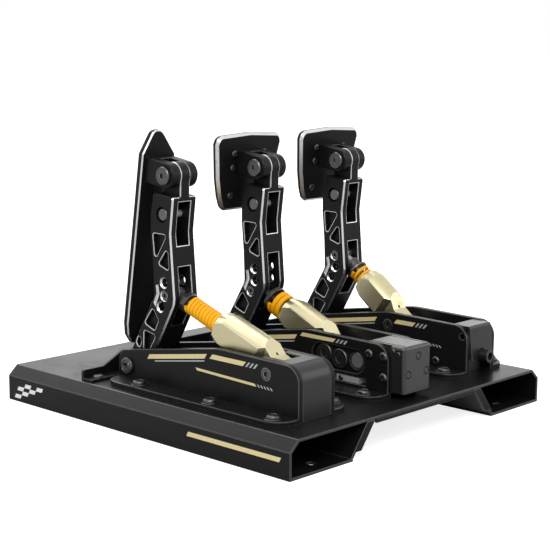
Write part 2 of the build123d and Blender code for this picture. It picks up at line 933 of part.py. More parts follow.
def arm_body(name):
    """A pedal arm with its slots, pockets, holes and tongue."""
    outline = arm_outline()
    arm = across(outline, -arm_half_width, arm_half_width)
    rims = arm.faces().filter_by(Axis.X).edges()
    arm = chamfer(rims, arm_edge_bevel)
    inner = offset(outline, -slot_back_wall, kind=Kind.INTERSECTION)
    sweep_area = inner + Pos(arm_reach / 6, 0) * inner + Pos(arm_reach / 3, 0) * inner
    for low_share, high_share in slot_band_shares:
        low = pivot_z + low_share * arm_rise
        high = pivot_z + high_share * arm_rise
        band = Pos(pivot_y, (low + high) / 2) * Rectangle(4 * arm_reach, high - low)
        arm -= across(sweep_area & band, -slot_half_width, slot_half_width)
    for side in (-1, 1):
        face = side * arm_half_width
        floor = face - side * pocket_depth
        outer = face + side * overrun
        for shares in pocket_shares:
            pocket = face_of([arm_point(place) for place in shares], pocket_corner_radius)
            arm -= across(pocket, min(floor, outer), max(floor, outer))
        mark_floor = face - side * scale_depth
        mark = face_of([arm_point(place) for place in scale_shares])
        arm -= across(mark, min(mark_floor, outer), max(mark_floor, outer))
    reach = arm_half_width + overrun
    arm -= pin_x(axle_radius + hinge_gap, -reach, reach, pivot_y, pivot_z)
    for shares in HOLES.values():
        y, z = arm_point(shares)
        arm -= pin_x(damper_hole_radius, -reach, reach, y, z)
        for side in (-1, 1):
            cone = Cone(damper_hole_radius, damper_hole_radius + damper_hole_bevel, damper_hole_bevel)
            place = Pos(side * (arm_half_width - damper_hole_bevel / 2), y, z) * Rot(0, side * 90, 0)
            arm -= place * cone
    y, z = arm_point(arm_pin_shares)
    arm -= pin_x(arm_pin_radius + fit_gap, -reach, reach, y, z)
    for side in (-1, 1):
        floor = side * (arm_half_width - arm_pin_recess_depth)
        outer = side * reach
        arm -= pin_x(arm_pin_recess_radius, min(floor, outer), max(floor, outer), y, z)
    arm += arm_tongue()
    return Pos(MODULE_X[name], 0, 0) * arm


def arm_tongue():
    """The tongue that carries the pad."""
    turn = math.radians(tongue_front_angle)
    front = (tilt_y + tongue_radius * math.cos(turn), tilt_z + tongue_radius * math.sin(turn))
    root = [arm_point(shares) for shares in tongue_root_shares]
    stem = face_of([front, (tilt_y - tongue_radius, tilt_z)] + root)
    tongue = across(stem, -tongue_half_width, tongue_half_width)
    tongue += pin_x(tongue_radius, -tongue_half_width, tongue_half_width, tilt_y, tilt_z)
    tongue -= pin_x(tilt_shaft_radius + fit_gap, -arm_half_width, arm_half_width, tilt_y, tilt_z)
    return tongue


def arm_pin(name):
    """The stepped cross pin high in the arm, with a flat disc at each end."""
    y, z = arm_point(arm_pin_shares)
    inner = arm_half_width - arm_pin_recess_depth
    pin = pin_x(arm_pin_radius, -inner, inner, y, z)
    for side in (-1, 1):
        low = min(side * inner, side * (inner + arm_pin_disc_height))
        disc = pin_x(arm_pin_disc_radius, low, low + arm_pin_disc_height, y, z)
        outer = disc.edges().filter_by(GeomType.CIRCLE).sort_by(Axis.X)[max(0, side) * -1]
        pin += chamfer(outer, arm_pin_disc_bevel)
    return Pos(MODULE_X[name], 0, 0) * pin


def damper_bolt(name):
    """The bolt that the damper's eye hangs on in the arm."""
    y, z = arm_point(HOLES[name])
    bolt = pin_x(damper_bolt_radius, -arm_half_width, arm_half_width, y, z)
    waist = pin_x(2 * damper_bolt_radius, -slot_half_width, slot_half_width, y, z)
    waist -= pin_x(damper_bolt_waist_radius, -arm_half_width, arm_half_width, y, z)
    bolt -= waist
    for side in (-1, 1):
        place = Pos(side * arm_half_width, y, z) * Rot(0, side * 90, 0)
        bolt -= place * socket(damper_bolt_radius / 2, -pocket_depth / 2, overrun, 0, 0)
    return Pos(MODULE_X[name], 0, 0) * bolt


def tilt_bolt(name):
    """The bolt through bracket and tongue, with a round head at each side."""
    seat = bracket_half_width + running_gap
    bolt = pin_x(tilt_shaft_radius, -seat, seat, tilt_y, tilt_z)
    for side in (-1, 1):
        place = Pos(side * seat, tilt_y, tilt_z) * Rot(0, side * 90, 0)
        bolt += head_along(place, tilt_head_radius, tilt_head_height, tilt_socket_radius, tilt_socket_depth)
    return Pos(MODULE_X[name], 0, 0) * bolt


# Pads

def pad_outline(name, inset):
    """The outline of a pad in the pad frame."""
    if name == "throttle":
        points = [(u * foot_width, v * foot_height) for u, v in foot_outline_shares]
        face = face_of(points, foot_corner_radius)
    else:
        right = [(u * pad_width, v * pad_height) for u, v in zip(pad_half_width_shares, pad_height_shares)]
        left = [(-u, v) for u, v in reversed(right[:-1])]
        face = make_face(Polyline(*right, *left, close=True).edges())
        corners = face.vertices().sort_by(Axis.Y)[:4]
        face = fillet(corners, pad_corner_radius)
    if inset > 0.0:
        face = offset(face, -inset, kind=Kind.INTERSECTION)
    return face


def pad_plate(name):
    """The pad's back plate, bevelled round its back edge."""
    plate = extrude(pad_outline(name, 0.0), amount=pad_plate_thickness)
    back = plate.faces().sort_by(Axis.Z)[0].edges()
    plate = chamfer(back, foot_bevel if name == "throttle" else pad_bevel)
    for u, v in pad_screw_places(name):
        plate -= pin_z(pad_screw_radius / 2 + fit_gap, -overrun, pad_front, u, v)
    return pad_frame(name) * plate


def pad_grip(name):
    """The pad's front layer, a little smaller than its back plate."""
    face = pad_outline(name, 2 * edge_break)
    grip = Pos(0, 0, pad_plate_thickness) * extrude(face, amount=pad_grip_thickness)
    return pad_frame(name) * grip


def pad_screw_places(name):
    """Places of the screws on a wide pad's back. The throttle's plate shows none."""
    if name == "throttle":
        return []
    return [(side * pad_screw_u, v) for side in (-1, 1) for v in pad_screw_v]


def pad_screws(name):
    """Button screws on a wide pad's back."""
    screws = []
    for u, v in pad_screw_places(name):
        place = pad_frame(name) * Pos(u, v, 0) * Rot(180, 0, 0)
        screws.append(
            head_along(
                place,
                pad_screw_radius,
                pad_screw_height,
                pad_screw_socket_radius,
                pad_screw_height / 2,
                pad_screw_radius / 2,
                pad_plate_thickness,
            )
        )
    return screws


def bracket(name):
    """The forked bracket between pad and tongue."""
    up, back = tilt_in_pad()
    body = block(
        (-bracket_half_width, up - bracket_radius, back),
        (bracket_half_width, up + bracket_radius, 0),
    )
    lobe = pin_x(bracket_radius, -bracket_half_width, bracket_half_width, up, back)
    body += lobe
    sides = body.faces().filter_by(Axis.X).sort_by(Axis.X)
    body = chamfer(sides[0].edges() + sides[-1].edges(), bracket_bevel)
    body -= block(
        (-bracket_gap_half_width, up - 2 * bracket_radius, back - 2 * bracket_radius),
        (bracket_gap_half_width, up + 2 * bracket_radius, -bracket_base_depth),
    )
    body -= pin_x(tilt_shaft_radius + hinge_gap, -2 * bracket_half_width, 2 * bracket_half_width, up, back)
    for u, v in pad_screw_places(name):
        body -= pin_z(pad_screw_radius + fit_gap, -bracket_base_depth, overrun, u, v)
    return pad_frame(name) * body


# Dampers

def rod_bore_end(name):
    """How far a rod's bore reaches, measured from the upper pin."""
    return ROD_LENGTH[name] + STROKE[name] + rod_bore_play


def damper_body(name):
    """The damper's outer body with its cone, flats, facets, tongue and bores."""
    upper, foot, length, slope = damper_line(name)
    start = length - BODY_LENGTH[name]
    facet = length - damper_facet_start
    tongue = facet + damper_facet_length
    end = length + damper_tongue_half_height
    cone = Cone(damper_mouth_radius, damper_radius, damper_cone_length)
    body = Pos(0, 0, start + damper_cone_length / 2) * cone
    barrel = end - start - damper_cone_length
    body += Pos(0, 0, start + damper_cone_length + barrel / 2) * Cylinder(damper_radius, barrel)
    side = face_of(
        (
            (damper_radius, start),
            (damper_radius, facet),
            (damper_tongue_half_height, tongue),
            (damper_tongue_half_height, length),
            (-damper_tongue_half_height, length),
            (-damper_tongue_half_height, tongue),
            (-damper_radius, facet),
            (-damper_radius, start),
        )
    )
    side += Pos(0, length) * Circle(damper_tongue_half_height)
    body = body & across(side, -damper_flat, damper_flat)
    cheek = face_of(
        (
            (damper_flat, facet),
            (damper_tongue_half_width, facet + damper_cheek_length),
            (damper_tongue_half_width, end + overrun),
            (damper_flat + overrun, end + overrun),
            (damper_flat + overrun, facet),
        )
    )
    cut = extrude(Plane.XZ * cheek, amount=damper_radius + overrun, both=True)
    body -= cut
    body -= mirror(cut, about=Plane.YZ)
    bore = rod_bore_end(name)
    body -= pin_z(rod_radius + rod_bore_gap, start - overrun, bore, 0, 0)
    if name == "clutch":
        body -= pin_z(clutch_bore_radius, start - overrun, start + clutch_bore_depth, 0, 0)
    body -= pin_x(foot_pin_radius + hinge_gap, -damper_flat, damper_flat, 0, length)
    top = Pos(0, -damper_tongue_half_height, length - damper_top_hole_back) * Rot(90, 0, 0)
    body -= top * Cylinder(damper_top_hole_radius, damper_tongue_half_height / 2)
    radius, wire, turns = SPRINGS[name]
    seat = spring_end(name)
    body -= pin_z(wire / 2 + seat_gap, seat - overrun, seat + wire + running_gap, radius, 0)
    return damper_frame(name) * body


def spring_end(name):
    """Where a spring meets the damper's body, measured from the upper pin."""
    length = damper_line(name)[2]
    start = length - BODY_LENGTH[name]
    if name == "clutch":
        return start + clutch_bore_depth
    return start


def rod(name):
    """The damper's rod with its eye."""
    piece = pin_z(rod_radius, 0, ROD_LENGTH[name], 0, 0)
    piece += pin_x(eye_radius, -eye_half_width, eye_half_width, 0, 0)
    piece -= pin_x(damper_bolt_waist_radius + eye_play, -arm_half_width, arm_half_width, 0, 0)
    return damper_frame(name) * piece


def collar(name):
    """The collar that the spring pushes on, fixed on the rod."""
    if name == "throttle":
        piece = Pos(0, 0, throttle_collar_start) * extrude(
            RegularPolygon(throttle_collar_radius, 8), amount=throttle_collar_length
        )
        round_bar = Pos(0, 0, throttle_collar_start + throttle_collar_length / 2) * Cylinder(
            throttle_collar_radius, throttle_collar_length
        )
        piece = piece & chamfer(round_bar.edges().filter_by(GeomType.CIRCLE), collar_bevel)
    elif name == "brake":
        piece = pin_z(brake_collar_radius, brake_collar_start, COLLAR_END[name], 0, 0)
        piece = chamfer(piece.edges().filter_by(GeomType.CIRCLE), collar_bevel / 2)
    else:
        neck_end = clutch_collar_start + clutch_neck_length
        rim = neck_end + clutch_flare_length
        piece = pin_z(clutch_neck_radius, clutch_collar_start, neck_end, 0, 0)
        flare = Cone(clutch_neck_radius, clutch_flare_radius, clutch_flare_length)
        piece += Pos(0, 0, (neck_end + rim) / 2) * flare
        piece += pin_z(clutch_flare_radius, rim, COLLAR_END[name], 0, 0)
    end = COLLAR_END[name]
    piece -= pin_z(rod_radius + fit_gap, 0, end + overrun, 0, 0)
    radius, wire, turns = SPRINGS[name]
    piece -= pin_z(wire / 2 + seat_gap, end - wire, end + overrun, radius, 0)
    return damper_frame(name) * piece


# Springs: a helix of paired arcs with straight ends

def unit(vector):
    """A vector of length one."""
    return vector / vector.length


def paired_arcs(start, start_way, end, end_way):
    """Two arcs that leave one place and reach another along given directions."""
    gap = end - start
    both = gap.dot(start_way + end_way)
    open_share = 2 * (1 - start_way.dot(end_way))
    if open_share < 1e-9:
        reach = gap.dot(gap) / (2 * both)
    else:
        reach = (math.sqrt(both * both + open_share * gap.dot(gap)) - both) / open_share
    first = start + start_way * reach
    last = end - end_way * reach
    middle = (first + last) / 2
    return [
        Edge.make_tangent_arc(start, start_way, middle),
        Edge.make_tangent_arc(middle, unit(last - first), end),
    ]


def spring_path(name):
    """The centre line of a spring, with its straight ends in the seats."""
    radius, wire, turns = SPRINGS[name]
    low = COLLAR_END[name]
    high = spring_end(name)
    lead = spring_lead_share * wire
    lead_turn = lead / radius
    total = 2 * math.pi * turns
    climb = (high - low - 2 * lead) / (total - 2 * lead_turn)

    def place(turn):
        height = low + lead + climb * (turn - lead_turn)
        return Vector(radius * math.cos(turn), radius * math.sin(turn), height)

    def way(turn):
        return unit(Vector(-radius * math.sin(turn), radius * math.cos(turn), climb))

    axis = Vector(0, 0, 1)
    edges = [Edge.make_line(Vector(radius, 0, low - wire), Vector(radius, 0, low))]
    edges += paired_arcs(Vector(radius, 0, low), axis, place(lead_turn), way(lead_turn))
    steps = math.ceil((total - 2 * lead_turn) / (math.pi / 2))
    stride = (total - 2 * lead_turn) / steps
    for index in range(steps):
        turn = lead_turn + index * stride
        edges += paired_arcs(place(turn), way(turn), place(turn + stride), way(turn + stride))
    last = total - lead_turn
    edges += paired_arcs(place(last), way(last), Vector(radius, 0, high), axis)
    edges.append(Edge.make_line(Vector(radius, 0, high), Vector(radius, 0, high + wire)))
    return edges


def least_gap(edges, wire):
    """The least gap of a spring to itself, measured on points of its centre line."""
    points = []
    run = 0.0
    for edge in edges:
        for share in (0.0, 0.2, 0.4, 0.6, 0.8):
            points.append((run + share * edge.length, edge.position_at(share)))
        run += edge.length
    least = run
    for index, (here, point) in enumerate(points):
        for there, other in points[index + 1:]:
            if there - here > math.pi * wire:
                least = min(least, (point - other).length - wire)
    return least


def spring(name):
    """One spring as one unbroken tube."""
    radius, wire, turns = SPRINGS[name]
    edges = spring_path(name)
    path = Wire(edges)
    start = Plane(origin=edges[0].position_at(0), z_dir=(0, 0, 1))
    tube = sweep(start * Circle(wire / 2), path=path)
    length = sum(edge.length for edge in edges)
    expected = math.pi * wire * wire / 4 * length
    print(name, "spring: least gap", round(least_gap(edges, wire), 2), "mm, volume ratio",
          round(tube.volume / expected, 4))
    radii = [edge.radius for edge in edges if edge.geom_type == GeomType.CIRCLE]
    print(name, "spring: smallest arc", round(min(radii), 2), "mm for wire", wire)
    return damper_frame(name) * tube


# Every piece under its own name

def write(name, shape):
    """Write one piece, or a group of like pieces, as a STEP file."""
    if isinstance(shape, list):
        solids = [solid for piece in shape for solid in piece.solids()]
    else:
        solids = list(shape.solids())
    shape = solids[0] if len(solids) == 1 else Compound(children=solids)
    shape.label = name
    export_step(shape, f"parts/{name}.step")


def main():
    """Build and write the whole pedal set."""
    write("base_plate", base_plate())
    write("end_strips", end_strips())
    write("channel_walls", channel_walls())
    write("heel_stop", heel_stop())
    write("heel_screws", heel_screws())
    write("flange_bolts", flange_bolts())
    write("pivot_axles", pivot_axles())
    write("pivot_bolts", pivot_bolts())
    write("pivot_bushes", pivot_bushes())
    write("foot_pins", foot_pins())
    write("throttle_cover", throttle_cover())
    write("brake_cover", brake_cover())
    write("cover_screws", cover_screws())
    write("brake_load_cell", brake_load_cell())
    write("brake_disc_bolt", brake_disc_bolt())
    write("clutch_cover", clutch_cover())
    write("clutch_cable_port", clutch_cable_port())
    for name in MODULE_X:
        write(f"{name}_plate_right", side_plate(name, 1))
        write(f"{name}_plate_left", side_plate(name, -1))
        write(f"{name}_arm", arm_body(name))
        write(f"{name}_arm_pin", arm_pin(name))
        write(f"{name}_damper_bolt", damper_bolt(name))
        write(f"{name}_tilt_bolt", tilt_bolt(name))
        write(f"{name}_bracket", bracket(name))
        write(f"{name}_pad_plate", pad_plate(name))
        write(f"{name}_pad_grip", pad_grip(name))
        if name != "throttle":
            write(f"{name}_pad_screws", pad_screws(name))
        write(f"{name}_damper_body", damper_body(name))
        write(f"{name}_rod", rod(name))
        write(f"{name}_collar", collar(name))
        write(f"{name}_spring", spring(name))


main()
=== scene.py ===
"""Looks of a three-pedal racing set: throttle, brake and clutch on a folded steel base."""

import logging
import math
from collections.abc import Callable
from dataclasses import dataclass, field
from enum import Enum
from functools import partial

import bmesh
import bpy
from bmesh.types import BMesh, BMFace, BMVert
from bpy.types import ID, Material, Mesh, Node, NodeSocket, NodeTree, Object, World
from mathutils import Euler, Matrix, Vector


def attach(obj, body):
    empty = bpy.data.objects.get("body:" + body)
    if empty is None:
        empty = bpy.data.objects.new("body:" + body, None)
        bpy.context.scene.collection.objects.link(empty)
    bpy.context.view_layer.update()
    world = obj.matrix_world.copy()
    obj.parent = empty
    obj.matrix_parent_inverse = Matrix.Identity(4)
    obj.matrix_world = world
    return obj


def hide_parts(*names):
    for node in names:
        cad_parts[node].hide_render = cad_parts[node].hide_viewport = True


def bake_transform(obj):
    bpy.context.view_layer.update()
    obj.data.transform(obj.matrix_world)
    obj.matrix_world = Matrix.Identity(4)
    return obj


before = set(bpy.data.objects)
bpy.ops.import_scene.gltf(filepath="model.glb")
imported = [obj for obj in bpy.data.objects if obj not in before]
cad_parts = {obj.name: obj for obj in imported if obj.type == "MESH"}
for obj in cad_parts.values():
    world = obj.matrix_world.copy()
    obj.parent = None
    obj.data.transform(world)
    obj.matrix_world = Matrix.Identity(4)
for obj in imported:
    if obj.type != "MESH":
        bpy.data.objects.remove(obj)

LOG = logging.getLogger("pedals")
MM = 0.001
BASE = "base"

# Points of the CAD's loose triangles that are nearer than this, in metres, are one.
CAD_MERGE_M = 2e-6
# The same for the wire of a spring.
WIRE_MERGE_M = 1e-6
# Triangles that turn less than this belong to one face.
FLAT_DEG = 0.6
# The share of its normal that a face cut at about 45 degrees turns to one side.
BEVELLED = (0.55, 0.85)
# Rounding of turned and ground parts.
FINE_EDGE_MM = 0.4
# Thickness of the print.
INK_MM = 0.12
# Lobes of a star socket, and half the depth of the hollows between them as a share of its radius.
STAR_LOBES = 6
STAR_WAVE = 0.11

Color = tuple[float, float, float, float]
Place = tuple[float, float, float]
Flat = tuple[float, float]
Spot = tuple[Place, Place]


class Pedal(Enum):
    """The three pedals, by the name that starts their nodes."""

    THROTTLE = "throttle"
    BRAKE = "brake"
    CLUTCH = "clutch"


class Carrier(Enum):
    """The bodies that a pedal's pieces ride on."""

    LEVER = "lever"
    FACE = "pedal_face"
    CYLINDER = "cylinder"
    PLUNGER = "plunger"

    def of(self, pedal: Pedal) -> str:
        """The body's name for one pedal."""
        return f"{pedal.value}_{self.value}"


# Nodes and colours


def linear(code: str) -> Color:
    """Turn an sRGB hex colour into linear light.

    Args:
        code: The colour, such as "#1a1a1a".

    Returns:
        Red, green, blue and an alpha of one.
    """
    parts = [int(code[i : i + 2], 16) / 255 for i in (1, 3, 5)]
    light = [p / 12.92 if p <= 0.04045 else ((p + 0.055) / 1.055) ** 2.4 for p in parts]
    return (light[0], light[1], light[2], 1.0)


def add_node(tree: NodeTree, kind: str, inputs: dict | tuple = (), **settings: object) -> Node:
    """Add a node to a tree, set its properties and fill its inputs.

    Args:
        tree: The node tree of a material, a world or a modifier.
        kind: The node's type.
        inputs: What goes into its inputs, by name or index, or in their order. It is a value, a
            socket, or a node that stands for its first output.
        settings: Properties of the node.

    Returns:
        The new node.
    """
    node = tree.nodes.new(kind)
    for key, value in settings.items():
        setattr(node, key, value)
    for key, value in inputs.items() if isinstance(inputs, dict) else enumerate(inputs):
        if isinstance(value, Node):
            value = value.outputs[0]
        if isinstance(value, NodeSocket):
            tree.links.new(value, node.inputs[key])
        else:
            node.inputs[key].default_value = value
    return node


def empty_tree(owner: Material | World) -> NodeTree:
    """Turn a material's or a world's nodes on and clear them.

    Args:
        owner: The material or world.

    Returns:
        Its empty tree.
    """
    owner.use_nodes = True
    owner.node_tree.nodes.clear()
    return owner.node_tree


# Finishes

# The part of the noise that the gloss follows, and the part that shows as scuffs.
CLOUD_BAND = (0.25, 0.75)
SCUFF_BAND = (0.56, 0.74)
# How much duller a scuff is, and how rough a clear coat is.
SCUFF_DULLING = 0.6
COAT_ROUGHNESS = 0.12


def even(size: float) -> Place:
    """A grain as large across as it is along and up."""
    return (size, size, size)


@dataclass(frozen=True)
class Finish:
    """A surface finish, with the clouds, grain and scuffs that its making and use leave.

    Attributes:
        name: Name of the material.
        color: Main colour.
        shade: Colour that soft clouds turn it towards.
        roughness: Middle roughness.
        spread: How far the roughness swings.
        scuff: Colour, strength and size in millimetres of the handling marks.
        depth_mm: Height of the grain.
        grain_mm: Size of the grain across, along and up the piece.
        slope: Turn of the grain about the cross axis, in radians.
        metallic: One for bare metal, nought for a coat.
        specular: Specular level of a coat, where 0.5 is plain.
        coat: Weight of a clear coat.
        cloud_mm: Size of the soft clouds.
    """

    name: str
    color: str
    shade: str
    roughness: float
    spread: float
    scuff: tuple[str, float, float]
    depth_mm: float
    grain_mm: Place = even(1.0)
    slope: float = 0.0
    metallic: float = 0.0
    specular: float = 0.5
    coat: float = 0.0
    cloud_mm: float = 60.0

    def material(self) -> Material:
        """Find this finish's material, or build it.

        Returns:
            The material.
        """
        made = bpy.data.materials.get(self.name)
        if made is None:
            made = bpy.data.materials.new(self.name)
            made.diffuse_color = linear(self.color)
            self.dress(empty_tree(made))
        return made

    def height(self, tree: NodeTree, place: NodeSocket) -> Node:
        """The relief of the surface, from nought to one.

        Args:
            tree: The material's tree.
            place: The piece's own coordinates.

        Returns:
            The node whose first output is the height.
        """
        turned = add_node(tree, "ShaderNodeMapping", {"Vector": place, "Rotation": (self.slope, 0.0, 0.0)})
        scale = tuple(1 / (size * MM) for size in self.grain_mm)
        stretched = add_node(tree, "ShaderNodeVectorMath", (turned, scale), operation="MULTIPLY")
        noise = {"Vector": stretched, "Scale": 1.0, "Detail": 2.0, "Roughness": 0.6}
        return add_node(tree, "ShaderNodeTexNoise", noise)

    def dress(self, tree: NodeTree) -> None:
        """Fill a material's tree with this finish's colour, gloss and relief.

        Args:
            tree: The material's empty tree.
        """
        add = partial(add_node, tree)
        place = add("ShaderNodeTexCoord").outputs["Object"]
        scuff, share, scuff_mm = self.scuff
        cloudy = {"Vector": place, "Scale": 1 / (self.cloud_mm * MM), "Detail": 4.0}
        clouds = add("ShaderNodeTexNoise", cloudy)
        marked = {"Vector": place, "Scale": 1 / (scuff_mm * MM), "Detail": 7.0, "Distortion": 1.2}
        marks = add("ShaderNodeTexNoise", marked)
        scuffs = add("ShaderNodeMapRange", (marks, *SCUFF_BAND, 0.0, share))
        tones = {0: clouds, 6: linear(self.color), 7: linear(self.shade)}
        tone = add("ShaderNodeMix", tones, data_type="RGBA").outputs[2]
        wears = {0: scuffs, 6: tone, 7: linear(scuff)}
        worn = add("ShaderNodeMix", wears, data_type="RGBA").outputs[2]
        relief = self.height(tree, place)
        low, high = self.roughness - self.spread, self.roughness + self.spread
        gloss = add("ShaderNodeMapRange", (clouds, *CLOUD_BAND, low, high))
        rubbed = add("ShaderNodeMath", (scuffs, SCUFF_DULLING, gloss), operation="MULTIPLY_ADD")
        grains = (relief, self.spread, rubbed)
        grained = add("ShaderNodeMath", grains, operation="MULTIPLY_ADD", use_clamp=True)
        raised = {"Height": relief, "Distance": self.depth_mm * MM, "Strength": 1.0}
        bump = add("ShaderNodeBump", raised)
        looks = {"Base Color": worn, "Roughness": grained, "Normal": bump, "Metallic": self.metallic}
        if self.metallic < 1.0:
            looks["Specular IOR Level"] = self.specular
        if self.coat:
            looks |= {"Coat Weight": self.coat, "Coat Roughness": COAT_ROUGHNESS}
        shader = add("ShaderNodeBsdfPrincipled", looks)
        add("ShaderNodeOutputMaterial", {"Surface": shader})


@dataclass(frozen=True)
class Turned(Finish):
    """Metal turned on a lathe, with fine rings about the axis that lies across the base.

    Attributes:
        center: A point of the axis, in metres.
        ring_mm: Spacing of the rings.
    """

    center: Place = (0.0, 0.0, 0.0)
    ring_mm: float = 0.6

    def height(self, tree: NodeTree, place: NodeSocket) -> Node:
        """The rings, with a little of the plain grain.

        Args:
            tree: The material's tree.
            place: The piece's own coordinates.

        Returns:
            The node whose first output is the height.
        """
        away = tuple(-value for value in self.center)
        centered = add_node(tree, "ShaderNodeMapping", {"Vector": place, "Location": away})
        # At a scale of one, Blender's wave repeats every 2 pi / 20.
        scale = 2 * math.pi / (20 * self.ring_mm * MM)
        wave = {"Vector": centered, "Scale": scale, "Distortion": 0.6}
        rings = add_node(tree, "ShaderNodeTexWave", wave, wave_type="RINGS", rings_direction="X")
        grain = super().height(tree, place)
        return add_node(tree, "ShaderNodeMath", (grain, rings.outputs["Fac"]), operation="MULTIPLY")


@dataclass(frozen=True)
class Stippled(Finish):
    """Moulded rubber with a stipple of small pits.

    Attributes:
        pit_mm: Spacing of the pits.
    """

    pit_mm: float = 1.5

    def height(self, tree: NodeTree, place: NodeSocket) -> Node:
        """The pits of the mould."""
        return add_node(tree, "ShaderNodeTexVoronoi", {"Vector": place, "Scale": 1 / (self.pit_mm * MM)})


# Satin black powder coat on folded steel: a soft orange peel breaks up its highlights.
# Real peel is about 1 mm across and is drawn a little coarser so that it shows.
POWDER_COAT = Finish(
    "powder_coated_steel", "#101011", "#141416", 0.30, 0.05, ("#2e2e30", 0.10, 30.0), 0.010, even(1.8),
    specular=0.16,
)
# The same black coat on the slanted walls' undersides, coloured pale grey as a painted reflection of the
# white floor below.
CHANNEL_PAINTED_REFLECTION = Finish(
    "channel_painted_floor_reflection", "#4c4c4d", "#565657", 0.30, 0.05, ("#6a6a6c", 0.12, 24.0), 0.010, even(1.8)
)
# The same coat over a bend or a cut edge, where it is thinner and rubs smooth; its paler colour is partly
# that wear and partly a painted highlight.
POWDER_COAT_WORN_HIGHLIT_EDGE = Finish(
    "powder_coat_worn_edge_painted_highlight", "#2c2c2d", "#363637", 0.30, 0.05, ("#6a6a6a", 0.35, 9.0), 0.006, even(1.2),
    specular=0.4,
)
# Bead-blasted aluminium, anodised black: an even, fine matt grain and a soft sheen.
# Blasting leaves pits of about 0.1 mm, drawn at 0.7 mm so that they show.
BLACK_ANODISE = Finish(
    "black_anodised_aluminium", "#111112", "#161618", 0.36, 0.05, ("#2b2b2d", 0.10, 18.0), 0.008, even(0.7),
    specular=0.16,
)
# The anodised edge, broken before the bath and rubbed smoother; its paler grey is partly wear and partly a
# painted highlight.
BLACK_ANODISE_WORN_HIGHLIT_EDGE = Finish(
    "black_anodise_worn_edge_painted_highlight", "#3a3a3b", "#464648", 0.28, 0.05, ("#8a8a8c", 0.30, 7.0), 0.004,
    even(0.7),
)
# Aluminium cut after anodising: bright, with the fine lines of the milling tool along it.
CUT_ALUMINIUM = Finish(
    "cut_aluminium", "#e6e6e7", "#d4d4d6", 0.26, 0.06, ("#9a9a9c", 0.3, 10.0), 0.006, (0.5, 0.5, 3.0),
    metallic=1.0,
)
# Folded cover sheet, painted satin black: smoother than the powder coat.
COVER_PAINT = Finish(
    "painted_cover_sheet", "#161617", "#1c1c1d", 0.28, 0.05, ("#3a3a3c", 0.12, 22.0), 0.007, even(1.1)
)
# The same paint over the brake's cast box, laid on thicker and paler.
BOX_PAINT = Finish(
    "painted_cast_box", "#1a1a1b", "#202021", 0.26, 0.05, ("#333335", 0.10, 22.0), 0.004, even(1.1),
    specular=0.75,
)
# The same paint over an edge, where it is thin and rubbed; its paler colour is partly that wear and partly a
# painted highlight.
COVER_PAINT_WORN_HIGHLIT_EDGE = Finish(
    "cover_paint_worn_edge_painted_highlight", "#363637", "#414142", 0.30, 0.05, ("#6e6e70", 0.3, 8.0), 0.004, even(1.1)
)
# Steel bolts in black oxide: dark and a little oily, with a metal glint.
BLACK_OXIDE = Finish(
    "black_oxide_steel", "#62615f", "#4b4a49", 0.32, 0.07, ("#8b8782", 0.35, 4.0), 0.008, even(0.6),
    metallic=0.95,
)
# Blasted bare aluminium of the load cell: pale, soft and even.
BLAST_ALUMINIUM = Finish(
    "blasted_aluminium", "#d2d2d1", "#c2c2c2", 0.48, 0.06, ("#9c9c9b", 0.2, 8.0), 0.01, even(0.7),
    metallic=0.6,
)
# Steel of the load cell's stack, in a darker grey than the bar that is painted shade from the box around it.
CELL_STACK_PAINTED_SHADE = Finish(
    "cell_stack_painted_shade", "#8e8e8d", "#7e7e7d", 0.45, 0.06, ("#6a6a69", 0.2, 6.0), 0.01, even(0.7),
    metallic=0.6,
)
# Bright steel, zinc plated, on the edges of small bolts and pins.
ZINC_SCREW = Finish(
    "zinc_plated_steel", "#b5b3af", "#a09e9b", 0.27, 0.06, ("#77746f", 0.4, 3.0), 0.006, even(0.5),
    metallic=1.0,
)
# Ground steel of rods and bars, with lines across the grinding.
GROUND_STEEL = Finish(
    "ground_steel", "#b9b8b6", "#a5a4a3", 0.26, 0.06, ("#8a8886", 0.25, 8.0), 0.006, (0.5, 4.0, 0.5),
    metallic=1.0,
)
# Spring wire under thick yellow enamel: glossy, a little wavy, rubbed duller where coils meet.
SPRING_ENAMEL = Finish(
    "enamelled_spring_wire", "#ffbc00", "#ffb000", 0.36, 0.06, ("#e29c10", 0.3, 5.0), 0.02, even(1.5),
    specular=0.3, coat=0.1, cloud_mm=12.0,
)
# Moulded rubber of the pads' faces: matt, with a fine stipple.
GRIP_RUBBER = Stippled(
    "moulded_rubber", "#1a1a1a", "#202021", 0.68, 0.07, ("#3b3a38", 0.3, 16.0), 0.06, specular=0.35
)
# Screen-printed ink in gold, grey and white: thin and nearly flat, a little broken where it is rubbed.
GOLD_INK = Finish(
    "printed_gold_ink", "#e6d7a3", "#dccb93", 0.45, 0.05, ("#b5a671", 0.35, 4.0), 0.005, even(0.8),
    specular=0.4,
)
GREY_INK = Finish(
    "printed_grey_ink", "#b9b9bd", "#acacb1", 0.42, 0.05, ("#88888c", 0.35, 4.0), 0.005, even(0.8),
    specular=0.4,
)
WHITE_INK = Finish(
    "printed_white_ink", "#f2f2f1", "#e6e6e6", 0.45, 0.05, ("#bcbcbc", 0.35, 4.0), 0.005, even(0.8),
    specular=0.4,
)


